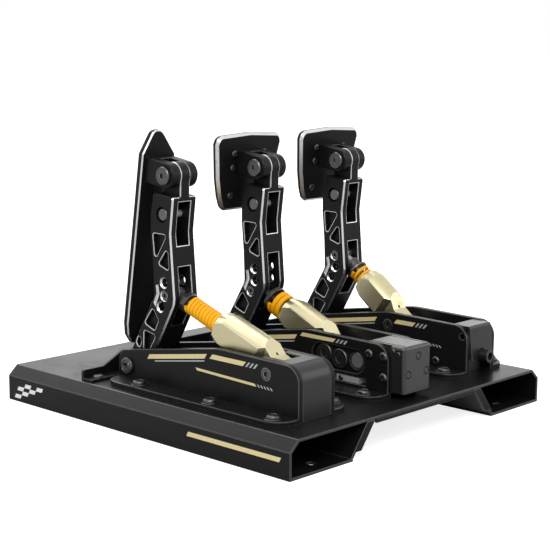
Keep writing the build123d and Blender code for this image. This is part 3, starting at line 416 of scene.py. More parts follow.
def champagne(pedal: Pedal, slope: float, edge: bool = False) -> Finish:
    """Aluminium brushed along the damper and anodised champagne gold.

    The brushing leaves lines about 0.2 mm apart, drawn at 0.5 mm so that they show.

    Args:
        pedal: The pedal whose damper it is on.
        slope: Slope of the damper, in radians.
        edge: Whether it is the brighter, polished edge.

    Returns:
        The finish, with its grain along that damper.
    """
    if edge:
        return Finish(
            f"champagne_edge_{pedal.value}", "#f4eeda", "#eae2c6", 0.24, 0.04, ("#a3976a", 0.2, 9.0), 0.003,
            (0.5, 8.0, 0.5), slope, metallic=1.0,
        )
    return Finish(
        f"champagne_anodised_{pedal.value}", "#dbd2ad", "#d0c69e", 0.30, 0.05, ("#a3976a", 0.2, 12.0), 0.006,
        (0.5, 14.0, 0.5), slope, metallic=1.0,
    )


# Meshes


def link(name: str, data: ID) -> Object:
    """Make an object at the origin and link it to the scene.

    Args:
        name: Its name.
        data: Its mesh, light or camera.

    Returns:
        The object.
    """
    made = bpy.data.objects.new(name, data)
    bpy.context.scene.collection.objects.link(made)
    return made


def mesh_of(bm: BMesh, name: str) -> Mesh:
    """Write a working mesh to a new plain one and free it.

    Args:
        bm: The working mesh.
        name: Name of the plain one.

    Returns:
        The plain mesh.
    """
    mesh = bpy.data.meshes.new(name)
    bm.to_mesh(mesh)
    bm.free()
    return mesh


def applied(holder: Object) -> Mesh:
    """Keep what an object's modifier makes of it as a plain mesh.

    Args:
        holder: The object, which is removed.

    Returns:
        The plain mesh.
    """
    graph = bpy.context.evaluated_depsgraph_get()
    mesh = bpy.data.meshes.new_from_object(holder.evaluated_get(graph), depsgraph=graph)
    bpy.data.objects.remove(holder)
    return mesh


def settle(piece: Object, body: str, nodes: tuple[str, ...]) -> None:
    """Let a finished piece ride on its body and stand for CAD nodes.

    Args:
        piece: The finished piece, at the origin.
        body: The body that it rides on.
        nodes: The CAD nodes that it stands for.
    """
    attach(piece, body)
    if nodes:
        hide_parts(*nodes)
    LOG.info("%s rides on %s, %d faces", piece.name, body, len(piece.data.polygons))


def plain_object(name: str, mesh: Mesh, *finishes: Finish) -> Object:
    """Link a mesh as an object at the origin with its materials.

    Args:
        name: Name of the piece.
        mesh: Its mesh, in place.
        finishes: The finishes of its slots.

    Returns:
        The new object.
    """
    mesh.name = name
    slots = [0] * len(mesh.polygons)
    mesh.polygons.foreach_get("material_index", slots)
    mesh.materials.clear()
    for finish in finishes:
        mesh.materials.append(finish.material())
    mesh.polygons.foreach_set("material_index", slots)
    return link(name, mesh)


def crisp(mesh: Mesh, sharp_deg: float) -> Mesh:
    """Smooth a mesh between sharp edges and let its large faces rule the shading.

    Args:
        mesh: The mesh.
        sharp_deg: Edges that turn more than this stay sharp.

    Returns:
        A new mesh with its normals weighted by face area.
    """
    bm = bmesh.new()
    bm.from_mesh(mesh)
    for face in bm.faces:
        face.smooth = True
    limit = math.radians(sharp_deg)
    for edge in bm.edges:
        edge.smooth = len(edge.link_faces) == 2 and edge.calc_face_angle(math.pi) < limit
    bm.to_mesh(mesh)
    bm.free()
    holder = link("holder", mesh)
    weighted = holder.modifiers.new("Weighted", "WEIGHTED_NORMAL")
    weighted.keep_sharp = True
    weighted.weight = 100
    return applied(holder)


def merged(node: str) -> BMesh:
    """A copy of a CAD node with its loose triangles merged.

    Args:
        node: The node.

    Returns:
        The working mesh.
    """
    bm = bmesh.new()
    bm.from_mesh(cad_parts[node].data)
    bmesh.ops.remove_doubles(bm, verts=bm.verts, dist=CAD_MERGE_M)
    return bm


def never(_: object) -> bool:
    """No face or edge."""
    return False


def always(_: object) -> bool:
    """Every face or edge."""
    return True


@dataclass(frozen=True)
class Machining:
    """How a rigid CAD shape is finished: broken edges and the finishes of faces and edges.

    Attributes:
        body: Finish of the faces.
        rim: Finish of the broken edges.
        edge_mm: Width of the broken edges.
        steps: Segments across an edge.
        least_turn_deg: Edges that turn less than this stay as they are.
        sharp_deg: Edges that turn more than this keep a sharp shade.
    """

    body: Finish
    rim: Finish
    edge_mm: float = 0.5
    steps: int = 2
    least_turn_deg: float = 55.0
    sharp_deg: float = 38.0

    def make(
        self,
        name: str,
        node: str,
        carrier: str,
        bright: Callable[[BMFace], bool] = never,
        broken: Callable[[Vector], bool] = always,
    ) -> None:
        """Copy a CAD node, break its outer edges and let the copy take its place.

        Args:
            name: Name of the new piece.
            node: The CAD node that it copies and stands for.
            carrier: The body that it rides on.
            bright: Says whether a face has the finish of the edges.
            broken: Says whether an edge with this middle is broken.
        """
        bm = merged(node)
        flat = math.radians(FLAT_DEG)
        bmesh.ops.dissolve_limit(
            bm, angle_limit=flat, use_dissolve_boundaries=False, verts=bm.verts, edges=bm.edges
        )
        for face in bm.faces:
            face.material_index = int(bright(face))
        limit = math.radians(self.least_turn_deg)
        rims = [
            edge
            for edge in bm.edges
            if len(edge.link_faces) == 2
            and edge.calc_face_angle_signed(0.0) >= limit
            and broken((edge.verts[0].co + edge.verts[1].co) / 2)
        ]
        bmesh.ops.bevel(
            bm, geom=rims, offset=self.edge_mm * MM, offset_type="OFFSET", segments=self.steps, profile=0.5,
            affect="EDGES", clamp_overlap=False, material=1,
        )
        mesh = crisp(mesh_of(bm, name), self.sharp_deg)
        settle(plain_object(name, mesh, self.body, self.rim), carrier, (node,))


STEEL_WORK = Machining(GROUND_STEEL, ZINC_SCREW, FINE_EDGE_MM)
OXIDE_WORK = Machining(BLACK_OXIDE, ZINC_SCREW, FINE_EDGE_MM)


def islands(node: str, view: Matrix | None = None) -> list[tuple[Vector, Vector, Vector]]:
    """The boxes of a CAD node's separate solids.

    Args:
        node: The node.
        view: A matrix that takes its points into another frame first.

    Returns:
        The lowest corner, the middle and the highest corner of each solid.
    """
    bm = merged(node)
    boxes = []
    seen: set[BMVert] = set()
    for first in bm.verts:
        if first in seen:
            continue
        group = [first]
        seen.add(first)
        for vert in group:
            for edge in vert.link_edges:
                other = edge.other_vert(vert)
                if other not in seen:
                    seen.add(other)
                    group.append(other)
        points = [v.co if view is None else view @ v.co for v in group]
        low, high = (Vector([pick(p[i] for p in points) for i in range(3)]) for pick in (min, max))
        boxes.append((low, (low + high) / 2, high))
    bm.free()
    return boxes


class Outline(Enum):
    """The outline of one ring of a turned shape."""

    ROUND = 0
    HEX = 1
    STAR = 2

    def reach(self, angle: float) -> float:
        """How far the ring reaches at an angle, as a share of its radius.

        Args:
            angle: The angle, in radians.

        Returns:
            The share.
        """
        if self is Outline.HEX:
            part = math.pi / 3
            return math.cos(part / 2) / math.cos(angle % part - part / 2)
        if self is Outline.STAR:
            return 1.0 - STAR_WAVE * (1 + math.cos(STAR_LOBES * angle))
        return 1.0


@dataclass(frozen=True)
class Profile:
    """A bolt, screw or stud, turned about the Z axis.

    Attributes:
        outside: Radius and height of its round rings in millimetres, from the bottom up.
        socket: The same for the rings of its socket, from the rim down.
        drive: Outline of the socket.
        around: Points in each ring.
    """

    outside: tuple[Flat, ...]
    socket: tuple[Flat, ...] = ()
    drive: Outline = Outline.HEX
    around: int = 24

    def solid(self, scale: Flat) -> Mesh:
        """Build the closed solid.

        Args:
            scale: What the radii and the heights are multiplied by.

        Returns:
            Its mesh, with normals outwards.
        """
        bm = bmesh.new()
        loops = []
        outlines = [Outline.ROUND] * len(self.outside) + [self.drive] * len(self.socket)
        for (radius, height), outline in zip(self.outside + self.socket, outlines):
            z = height * scale[1] * MM
            loop = []
            for index in range(self.around):
                angle = 2 * math.pi * index / self.around
                reach = radius * scale[0] * MM * outline.reach(angle)
                loop.append(bm.verts.new((reach * math.cos(angle), reach * math.sin(angle), z)))
            loops.append(loop)
        for lower, upper in zip(loops, loops[1:]):
            for index in range(self.around):
                after = (index + 1) % self.around
                bm.faces.new((lower[index], lower[after], upper[after], upper[index]))
        bm.faces.new(loops[0][::-1])
        bm.faces.new(loops[-1])
        bmesh.ops.recalc_face_normals(bm, faces=bm.faces)
        return crisp(mesh_of(bm, "turned"), sharp_deg=32.0)


FLANGE_BOLT = Profile(
    (
        (3.9, -9.4), (3.9, -1.4), (8.5, -1.4), (8.8, -1.1), (8.8, -0.4), (8.4, 0.0), (6.6, 0.0), (6.8, 0.3),
        (6.8, 1.6), (6.5, 2.5), (5.8, 3.1), (4.9, 3.4),
    ),
    ((3.9, 3.4), (3.5, 3.0), (3.5, 1.2)),
    around=36,
)
PIVOT_BOLT = Profile(
    (
        (3.9, -11.0), (3.9, 0.0), (8.7, 0.0), (9.0, 0.3), (9.0, 2.2), (8.6, 2.9), (7.6, 3.5), (6.6, 3.6),
        (6.3, 3.2), (5.5, 3.2), (5.2, 3.6),
    ),
    ((3.9, 3.6), (3.4, 3.2), (3.3, 1.7)),
    Outline.STAR,
    around=48,
)
# The covers' button screws and the box's plugs are drawn at one millimetre and scaled to each.
BUTTON_SCREW = Profile(
    ((0.88, 0.0), (0.97, 0.06), (1.0, 0.25), (0.94, 0.6), (0.77, 0.88), (0.62, 1.0)),
    ((0.47, 0.98), (0.44, 0.8), (0.44, 0.5)),
)
BOX_PLUG = Profile(((1.0, 0.0), (1.0, 0.82), (0.94, 1.0), (0.5, 1.0)))
HEEL_SCREW = Profile(
    ((3.0, -3.0), (3.0, 0.0), (5.8, 0.0), (6.0, 0.3), (5.8, 1.2), (4.8, 2.0), (3.4, 2.4)),
    ((2.2, 2.35), (2.0, 2.0), (2.0, 1.0)),
)
PAD_SCREW = Profile(
    ((2.0, -4.6), (2.0, 0.0), (3.8, 0.0), (4.0, 0.2), (3.9, 0.8), (3.3, 1.4), (2.4, 1.8)),
    ((1.75, 1.78), (1.6, 1.5), (1.6, 0.8)),
)
FACE_STUD = Profile(((2.6, -0.4), (2.6, 0.25), (2.35, 0.7), (1.8, 0.95), (1.1, 0.8)), around=16)


# Geometry Nodes: what repeats or follows a path


def start_tree(name: str, sockets: dict[str, str]) -> tuple[NodeTree, bpy.types.bpy_prop_collection]:
    """Begin a Geometry Nodes tree with named inputs.

    Args:
        name: Name of the tree.
        sockets: Type of each input by its name, besides the geometry and the finish.

    Returns:
        The tree and the sockets that its inputs come from.
    """
    tree = bpy.data.node_groups.new(name, "GeometryNodeTree")
    for label, kind in {"Geometry": "Geometry", **sockets, "Finish": "Material"}.items():
        tree.interface.new_socket(name=label, in_out="INPUT", socket_type=f"NodeSocket{kind}")
    tree.interface.new_socket(name="Geometry", in_out="OUTPUT", socket_type="NodeSocketGeometry")
    return tree, tree.nodes.new("NodeGroupInput").outputs


def end_tree(tree: NodeTree, shape: Node, finish: NodeSocket) -> NodeTree:
    """End a tree in Realize Instances and Set Material.

    Args:
        tree: The tree.
        shape: The node whose first output is the shape.
        finish: The input that gives the material.

    Returns:
        The finished tree.
    """
    real = add_node(tree, "GeometryNodeRealizeInstances", {"Geometry": shape})
    dressed = add_node(tree, "GeometryNodeSetMaterial", {"Geometry": real, "Material": finish})
    add_node(tree, "NodeGroupOutput", {"Geometry": dressed})
    return tree


def grow(name: str, tree: NodeTree, inputs: dict[str, object], start: Mesh | None = None) -> Mesh:
    """Run a tree on a start mesh and keep the result as a plain mesh.

    Args:
        name: Name of the mesh.
        tree: The Geometry Nodes tree.
        inputs: Values of its named inputs.
        start: The mesh that it starts from, or none.

    Returns:
        The plain mesh.
    """
    if start is None:
        start = bpy.data.meshes.new("start")
    holder = link(f"{name}_start", start)
    modifier = holder.modifiers.new("Build", "NODES")
    modifier.node_group = tree
    keys = {item.name: item.identifier for item in tree.interface.items_tree if item.in_out == "INPUT"}
    for label, value in inputs.items():
        modifier[keys[label]] = value
    return applied(holder)


def scatter_tree() -> NodeTree:
    """The tree that sets one shape at each point, turned as the point says, with a random spin.

    Returns:
        The tree.
    """
    tree, given = start_tree("set_at_points", {"Shape": "Object", "Spin": "Float", "Seed": "Int"})
    add = partial(add_node, tree)
    shape = add("GeometryNodeObjectInfo", {"Object": given["Shape"]}).outputs["Geometry"]
    turn = add("GeometryNodeInputNamedAttribute", {"Name": "turn"}, data_type="FLOAT_VECTOR")
    rotation = add("FunctionNodeEulerToRotation", {"Euler": turn.outputs["Attribute"]})
    copies = {"Points": given["Geometry"], "Instance": shape, "Rotation": rotation}
    placed = add("GeometryNodeInstanceOnPoints", copies)
    limits = {"Max": given["Spin"], "Seed": given["Seed"]}
    spin = add("FunctionNodeRandomValue", limits, data_type="FLOAT").outputs["Value"]
    euler = add("ShaderNodeCombineXYZ", {"Z": spin})
    spun = add("GeometryNodeRotateInstances", {"Instances": placed, "Rotation": euler})
    return end_tree(tree, spun, given["Finish"])


def coil_tree() -> NodeTree:
    """The tree that winds a flat wire into a spring with closed ends, about the Z axis.

    Returns:
        The tree.
    """
    names = ("Radius", "Start", "Length", "Turns", "Dead Turns", "Wire Height", "Wire Width", "Corner")
    tree, given = start_tree("wound_flat_wire", {**dict.fromkeys(names, "Float"), "Steps": "Int"})
    add = partial(add_node, tree)
    radius, start, length, turns, dead_turns, high, wide, corner = (given[name] for name in names)
    line = add("GeometryNodeCurvePrimitiveLine")
    steps = add("GeometryNodeResampleCurve", {"Curve": line, "Count": given["Steps"]}, mode="COUNT")
    share = add("GeometryNodeSplineParameter").outputs["Factor"]
    wound = add("ShaderNodeMath", (share, turns), operation="MULTIPLY")
    angle = add("ShaderNodeMath", (wound, 2 * math.pi), operation="MULTIPLY")
    cosine = add("ShaderNodeMath", (angle,), operation="COSINE")
    sine = add("ShaderNodeMath", (angle,), operation="SINE")
    x = add("ShaderNodeMath", (cosine, radius), operation="MULTIPLY")
    y = add("ShaderNodeMath", (sine, radius), operation="MULTIPLY")
    # The wire rises by its own height a turn where it lies closed, and evenly in between.
    late = add("ShaderNodeMath", (turns, dead_turns), operation="SUBTRACT")
    dead = add("ShaderNodeMath", (dead_turns, high), operation="MULTIPLY")
    half = add("ShaderNodeMath", (high, 0.5), operation="MULTIPLY")
    low = add("ShaderNodeMath", (start, half), operation="ADD")
    both = add("ShaderNodeMath", (dead, 2.0, high), operation="MULTIPLY_ADD")
    open_run = add("ShaderNodeMath", (length, both), operation="SUBTRACT")
    first = add("ShaderNodeMapRange", (wound, 0.0, dead_turns, 0.0, dead))
    last = add("ShaderNodeMapRange", (wound, late, turns, 0.0, dead))
    middle = add("ShaderNodeMapRange", (wound, dead_turns, late, 0.0, open_run))
    ends = add("ShaderNodeMath", (first, last), operation="ADD")
    rise = add("ShaderNodeMath", (ends, middle), operation="ADD")
    z = add("ShaderNodeMath", (rise, low), operation="ADD")
    point = add("ShaderNodeCombineXYZ", (x, y, z))
    helix = add("GeometryNodeSetPosition", {"Geometry": steps, "Position": point})
    upright = add("GeometryNodeSetCurveNormal", {"Curve": helix}, mode="Z_UP")
    section = add("GeometryNodeCurvePrimitiveQuadrilateral", {"Width": wide, "Height": high})
    corners = {"Curve": section, "Count": 3, "Radius": corner}
    rounded = add("GeometryNodeFilletCurve", corners, mode="POLY")
    sweep = {"Curve": upright, "Profile Curve": rounded, "Fill Caps": True}
    wire = add("GeometryNodeCurveToMesh", sweep)
    return end_tree(tree, wire, given["Finish"])


def stripe_tree() -> NodeTree:
    """The tree that lays a row of parallel slanted bars along X, as thin as print.

    Returns:
        The tree.
    """
    names = ("Width", "Height", "Pitch", "Slant", "Thickness")
    tree, given = start_tree("slanted_bars", {**dict.fromkeys(names, "Float"), "Count": "Int"})
    add = partial(add_node, tree)
    width, height, pitch, slant, thickness = (given[name] for name in names)
    step = add("ShaderNodeCombineXYZ", {"X": pitch})
    row = add("GeometryNodeMeshLine", {"Count": given["Count"], "Offset": step}, mode="OFFSET")
    size = add("ShaderNodeCombineXYZ", (width, height, thickness))
    bar = add("GeometryNodeMeshCube", {"Size": size, "Vertices Y": 5})
    placed = add("GeometryNodeInstanceOnPoints", {"Points": row, "Instance": bar})
    real = add("GeometryNodeRealizeInstances", {"Geometry": placed})
    where = add("GeometryNodeInputPosition")
    up = add("ShaderNodeSeparateXYZ", {"Vector": where}).outputs["Y"]
    lean = add("ShaderNodeMath", (up, slant), operation="MULTIPLY")
    shift = add("ShaderNodeCombineXYZ", {"X": lean})
    slanted = add("GeometryNodeSetPosition", {"Geometry": real, "Offset": shift})
    return end_tree(tree, slanted, given["Finish"])


@dataclass
class Recipes:
    """The Geometry Nodes trees, built once.

    Attributes:
        scatter: Sets one shape at each point.
        coil: Winds a spring.
        stripes: Lays a row of slanted bars.
    """

    scatter: NodeTree = field(default_factory=scatter_tree)
    coil: NodeTree = field(default_factory=coil_tree)
    stripes: NodeTree = field(default_factory=stripe_tree)

    def set_at(
        self,
        name: str,
        profile: Profile,
        places: list[Spot],
        finish: Finish,
        seed: int,
        scale: Flat = (1.0, 1.0),
    ) -> Object:
        """Set a turned shape at each place and return the group as one piece.

        Args:
            name: Name of the piece.
            profile: The shape.
            places: Position in metres and turn in radians of each copy.
            finish: The finish of all copies.
            seed: Seed of their random spin.
            scale: What the shape's radii and heights are multiplied by.

        Returns:
            The piece.
        """
        points = bpy.data.meshes.new(f"{name}_points")
        points.from_pydata([place for place, _ in places], [], [])
        turns = points.attributes.new("turn", "FLOAT_VECTOR", "POINT")
        for item, (_, turn) in zip(turns.data, places):
            item.vector = turn
        model = link(f"{name}_model", profile.solid(scale))
        inputs = {"Shape": model, "Spin": math.pi / 3, "Seed": seed, "Finish": finish.material()}
        mesh = grow(name, self.scatter, inputs, points)
        bpy.data.objects.remove(model)
        return plain_object(name, mesh, finish)

    def bars(self, size: Flat, slant: float, finish: Finish, pitch: float = 1.0, count: int = 1) -> Mesh:
        """Build a row of slanted bars along X.

        Args:
            size: Width and height of a bar, in millimetres.
            slant: How far the bars lean.
            finish: Their finish.
            pitch: Their spacing, in millimetres.
            count: Number of bars.

        Returns:
            Their mesh.
        """
        sizes = {"Width": size[0], "Height": size[1], "Pitch": pitch, "Thickness": INK_MM}
        inputs = {label: value * MM for label, value in sizes.items()}
        inputs |= {"Slant": slant, "Count": count, "Finish": finish.material()}
        return grow("bars", self.stripes, inputs)


def join(name: str, parts: list[tuple[Mesh, Matrix]], finish: Finish) -> Object:
    """Put several meshes in place and join them as one piece.

    Args:
        name: Name of the piece.
        parts: Each mesh with the matrix that places it.
        finish: The finish of all of it.

    Returns:
        The piece.
    """
    bm = bmesh.new()
    for mesh, place in parts:
        mesh.transform(place)
        bm.from_mesh(mesh)
    bmesh.ops.recalc_face_normals(bm, faces=bm.faces)
    return plain_object(name, mesh_of(bm, name), finish)


def on_wall(out: float, along: float, up: float) -> Matrix:
    """The place of print on an upright wall, with X along it, Y up it and Z across the base."""
    turn = Matrix(((0.0, 0.0, 1.0), (1.0, 0.0, 0.0), (0.0, 1.0, 0.0))).to_4x4()
    return Matrix.Translation(Vector((out, along, up)) * MM) @ turn


# Sub-assemblies


@dataclass
class Layout:
    """Where the pedals stand, in millimetres, as in the CAD.

    Attributes:
        throttle_x: Middle of the throttle across the base.
        brake_x: Middle of the brake.
        clutch_x: Middle of the clutch.
        base_half_width: Half the base's width.
        plate_half: Half the width of a housing.
        arm_half_width: Half the width of an arm.
        tilt_y: Place along of the pads' tilting axes.
        tilt_z: Height of the same.
        pad_y: Place along of the pads' back faces at that height.
        pad_lean_deg: Lean of the pads.
    """

    throttle_x: float = 127.3
    brake_x: float = -4.0
    clutch_x: float = -136.5
    base_half_width: float = 200.0
    plate_half: float = 25.5
    arm_half_width: float = 16.6
    tilt_y: float = -15.4
    tilt_z: float = 255.3
    pad_y: float = -44.5
    pad_lean_deg: float = 9.0

    def x(self, pedal: Pedal) -> float:
        """The middle of one pedal across the base."""
        return dict(zip(Pedal, (self.throttle_x, self.brake_x, self.clutch_x)))[pedal]

    def pad_frame(self, pedal: Pedal) -> Matrix:
        """The frame of a pad: X across, Y up the pad, Z to the driver.

        Args:
            pedal: The pad's pedal.

        Returns:
            The matrix that takes the pad's own points to the set's frame.
        """
        lean = math.radians(self.pad_lean_deg)
        sine, cosine = math.sin(lean), math.cos(lean)
        turn = Matrix(((1.0, 0.0, 0.0), (0.0, sine, -cosine), (0.0, cosine, sine))).to_4x4()
        return Matrix.Translation(Vector((self.x(pedal), self.pad_y, self.tilt_z)) * MM) @ turn


@dataclass
class Assembly:
    """A sub-assembly of the set.

    Attributes:
        layout: Where things stand.
        recipes: The Geometry Nodes trees.
    """

    layout: Layout
    recipes: Recipes

    def bolts(self, node: str, profile: Profile, places: list[Spot], seed: int, body: str = BASE) -> None:
        """Set black bolts in the place of a CAD node.

        Args:
            node: The node that they stand for.
            profile: Their shape.
            places: Position in metres and turn in radians of each.
            seed: Seed of their random spin.
            body: The body that they ride on.
        """
        piece = self.recipes.set_at(f"{node}_turned", profile, places, BLACK_OXIDE, seed)
        settle(piece, body, (node,))


@dataclass
class PedalAssembly(Assembly):
    """A sub-assembly of one pedal.

    Attributes:
        pedal: Which pedal it is.
    """

    pedal: Pedal


@dataclass
class Base(Assembly):
    """The folded base with its heel stop, patch and stripe.

    Attributes:
        bend_mm: Rounding of the folded edges.
        edge_mm: Rounding of the cut edges.
        end_normal: Least share along the base of an end face's normal.
        underside: Upward share of the normal on a slanted wall's underside.
        cell: Width and height of one cell of the patch.
        cell_slant: How far the patch and the stripe's ends lean.
        patch_cells: Column and row of each white cell.
        patch_corner: Place along the wall and height of the patch's first cell.
        stripe: Length and height of the stripe.
        stripe_place: Middle of the stripe along the wall and up it.
    """

    bend_mm: float = 0.9
    edge_mm: float = 0.5
    end_normal: float = 0.9
    underside: Flat = (-0.9, -0.3)
    cell: Flat = (10.2, 4.4)
    cell_slant: float = 0.55
    patch_cells: tuple[tuple[int, int], ...] = ((0, 0), (2, 0), (-1, 1), (1, 1), (0, 2), (-1, 3))
    patch_corner: Flat = (-175.4, 19.5)
    stripe: Flat = (122.0, 4.6)
    stripe_place: Flat = (137.0, 18.2)

    def build(self) -> None:
        """Build the base's pieces."""
        # Bends, cut edges and cut ends take the paler edge coat: partly wear, partly painted highlight.
        folded = Machining(POWDER_COAT, POWDER_COAT_WORN_HIGHLIT_EDGE, self.bend_mm, steps=3, least_turn_deg=35.0)
        folded.make("base_sheet", "base_plate", BASE, self.is_end)
        cut = Machining(POWDER_COAT, POWDER_COAT_WORN_HIGHLIT_EDGE, self.edge_mm)
        cut.make("stiffening_strips", "end_strips", BASE)
        # The slanted walls' undersides and rims get a pale grey painted reflection of the floor.
        slanted = Machining(POWDER_COAT, CHANNEL_PAINTED_REFLECTION, self.edge_mm)
        slanted.make("channel_sheets", "channel_walls", BASE, self.is_underside)
        cut.make("heel_sheet", "heel_stop", BASE)
        self.print_wall()

    def is_end(self, face: BMFace) -> bool:
        """Whether a face is a cut end of the sheet, which takes the paler edge coat, partly wear and partly
        painted highlight.
        """
        return abs(face.normal.y) > self.end_normal

    def is_underside(self, face: BMFace) -> bool:
        """Whether a face is the underside of a slanted wall, which carries the painted reflection of the
        floor.
        """
        low, high = self.underside
        return low < face.normal.z < high

    def print_wall(self) -> None:
        """The chequered patch at the near end of the right wall, and the gold stripe at its far end."""
        out = self.layout.base_half_width + INK_MM / 2
        along, up = self.patch_corner
        wide, high = self.cell
        parts = []
        for column, row in self.patch_cells:
            bar = self.recipes.bars(self.cell, self.cell_slant, WHITE_INK)
            shift = column * wide - row * self.cell_slant * high
            parts.append((bar, on_wall(out, along + shift, up - row * high)))
        settle(join("chequered_patch", parts, WHITE_INK), BASE, ())
        bar = self.recipes.bars(self.stripe, self.cell_slant, GOLD_INK)
        stripe = join("wall_stripe", [(bar, on_wall(out, *self.stripe_place))], GOLD_INK)
        settle(stripe, BASE, ())


@dataclass(frozen=True)
class Run:
    """A run of parallel slanted bars in print, sizes in millimetres.

    Attributes:
        ink: Gold or grey.
        size: Width and height of a bar.
        place: Middle of the first bar, along the plate and up it.
        slant: How far the bars lean.
        rise_deg: Turn of the run.
        pedals: The pedals whose plates have it.
        pitch: Spacing of the bars.
        count: Number of bars.
    """

    ink: Finish
    size: Flat
    place: Flat
    slant: float = 0.9
    rise_deg: float = 0.0
    pedals: tuple[Pedal, ...] = tuple(Pedal)
    pitch: float = 1.0
    count: int = 1


@dataclass
class Housings(Assembly):
    """The side plates, covers and fixed pins of the three housings.

    Attributes:
        plate_edge_mm: Rounding of the plates.
        cover_edge_mm: Rounding of the covers.
        stack_foot_z: Height above which the load cell is its steel stack, coloured darker as painted shade.
        runs: The runs of printed bars.
    """

    plate_edge_mm: float = 0.8
    cover_edge_mm: float = 0.7
    stack_foot_z: float = 53.5
    runs: tuple[Run, ...] = (
        Run(GOLD_INK, (86.0, 4.6), (10.0, 75.6), rise_deg=9.3),
        Run(GREY_INK, (74.0, 1.2), (14.0, 71.6), rise_deg=9.3),
        Run(GOLD_INK, (46.0, 4.8), (83.0, 83.6), pedals=(Pedal.THROTTLE,)),
        Run(GOLD_INK, (46.0, 4.0), (83.0, 86.4), pedals=(Pedal.BRAKE,)),
        Run(GOLD_INK, (26.0, 4.8), (93.0, 83.6), pedals=(Pedal.CLUTCH,)),
        Run(GREY_INK, (2.4, 4.8), (110.5, 83.6), 0.9, 0.0, (Pedal.THROTTLE, Pedal.CLUTCH), 5.2, 3),
        Run(GREY_INK, (2.4, 4.0), (110.5, 86.4), 0.9, 0.0, (Pedal.BRAKE,), 5.2, 3),
        Run(GOLD_INK, (82.0, 2.6), (80.0, 66.5), -0.9, -1.6, (Pedal.THROTTLE, Pedal.CLUTCH)),
        Run(GREY_INK, (1.7, 2.6), (125.0, 65.2), -0.9, -1.6, (Pedal.THROTTLE, Pedal.CLUTCH), 4.2, 5),
    )

    def build(self) -> None:
        """Build the housings' pieces."""
        # The plates' rims are paler grey: partly wear, partly painted highlight.
        plate = Machining(BLACK_ANODISE, BLACK_ANODISE_WORN_HIGHLIT_EDGE, self.plate_edge_mm)
        for pedal in Pedal:
            for side in ("right", "left"):
                node = f"{pedal.value}_plate_{side}"
                plate.make(f"{node}_machined", node, BASE)
            self.print_bars(pedal)
        # The covers' rims are paler: partly wear, partly painted highlight.
        cover = Machining(COVER_PAINT, COVER_PAINT_WORN_HIGHLIT_EDGE, self.cover_edge_mm)
        for node in ("throttle_cover", "clutch_cover", "clutch_cable_port"):
            cover.make(f"{node}_painted", node, BASE)
        box = Machining(BOX_PAINT, COVER_PAINT_WORN_HIGHLIT_EDGE)
        box.make("brake_box_painted", "brake_cover", BASE, broken=never)
        # The stack above the bar is coloured darker grey as painted shade.
        cell = Machining(BLAST_ALUMINIUM, CELL_STACK_PAINTED_SHADE, FINE_EDGE_MM)
        cell.make("load_cell_bar", "brake_load_cell", BASE, self.is_stack)
        STEEL_WORK.make("axle_bars", "pivot_axles", BASE)
        OXIDE_WORK.make("spacer_rings", "pivot_bushes", BASE)
        OXIDE_WORK.make("damper_foot_pins", "foot_pins", BASE)
        OXIDE_WORK.make("disc_bolt", "brake_disc_bolt", BASE)

    def is_stack(self, face: BMFace) -> bool:
        """Whether a face of the load cell is on the steel stack above its bar, where its colour is painted
        shade.
        """
        return face.calc_center_median().z / MM > self.stack_foot_z

    def print_bars(self, pedal: Pedal) -> None:
        """Parallel slanted bars, gold and then grey, on both outer faces.

        Args:
            pedal: The housing's pedal.
        """
        for side, word in ((1, "right"), (-1, "left")):
            out = self.layout.x(pedal) + side * (self.layout.plate_half + INK_MM / 2)
            for ink, finish, slot in (("gold", GOLD_INK, "champagne_gold"), ("grey", GREY_INK, "silver")):
                parts = []
                for run in self.runs:
                    if run.ink is finish and pedal in run.pedals:
                        bar = self.recipes.bars(run.size, run.slant, finish, run.pitch, run.count)
                        spin = Matrix.Rotation(math.radians(run.rise_deg), 4, "Z")
                        parts.append((bar, on_wall(out, *run.place) @ spin))
                settle(join(f"{pedal.value}_{ink}_bars_{word}", parts, finish), BASE, ())


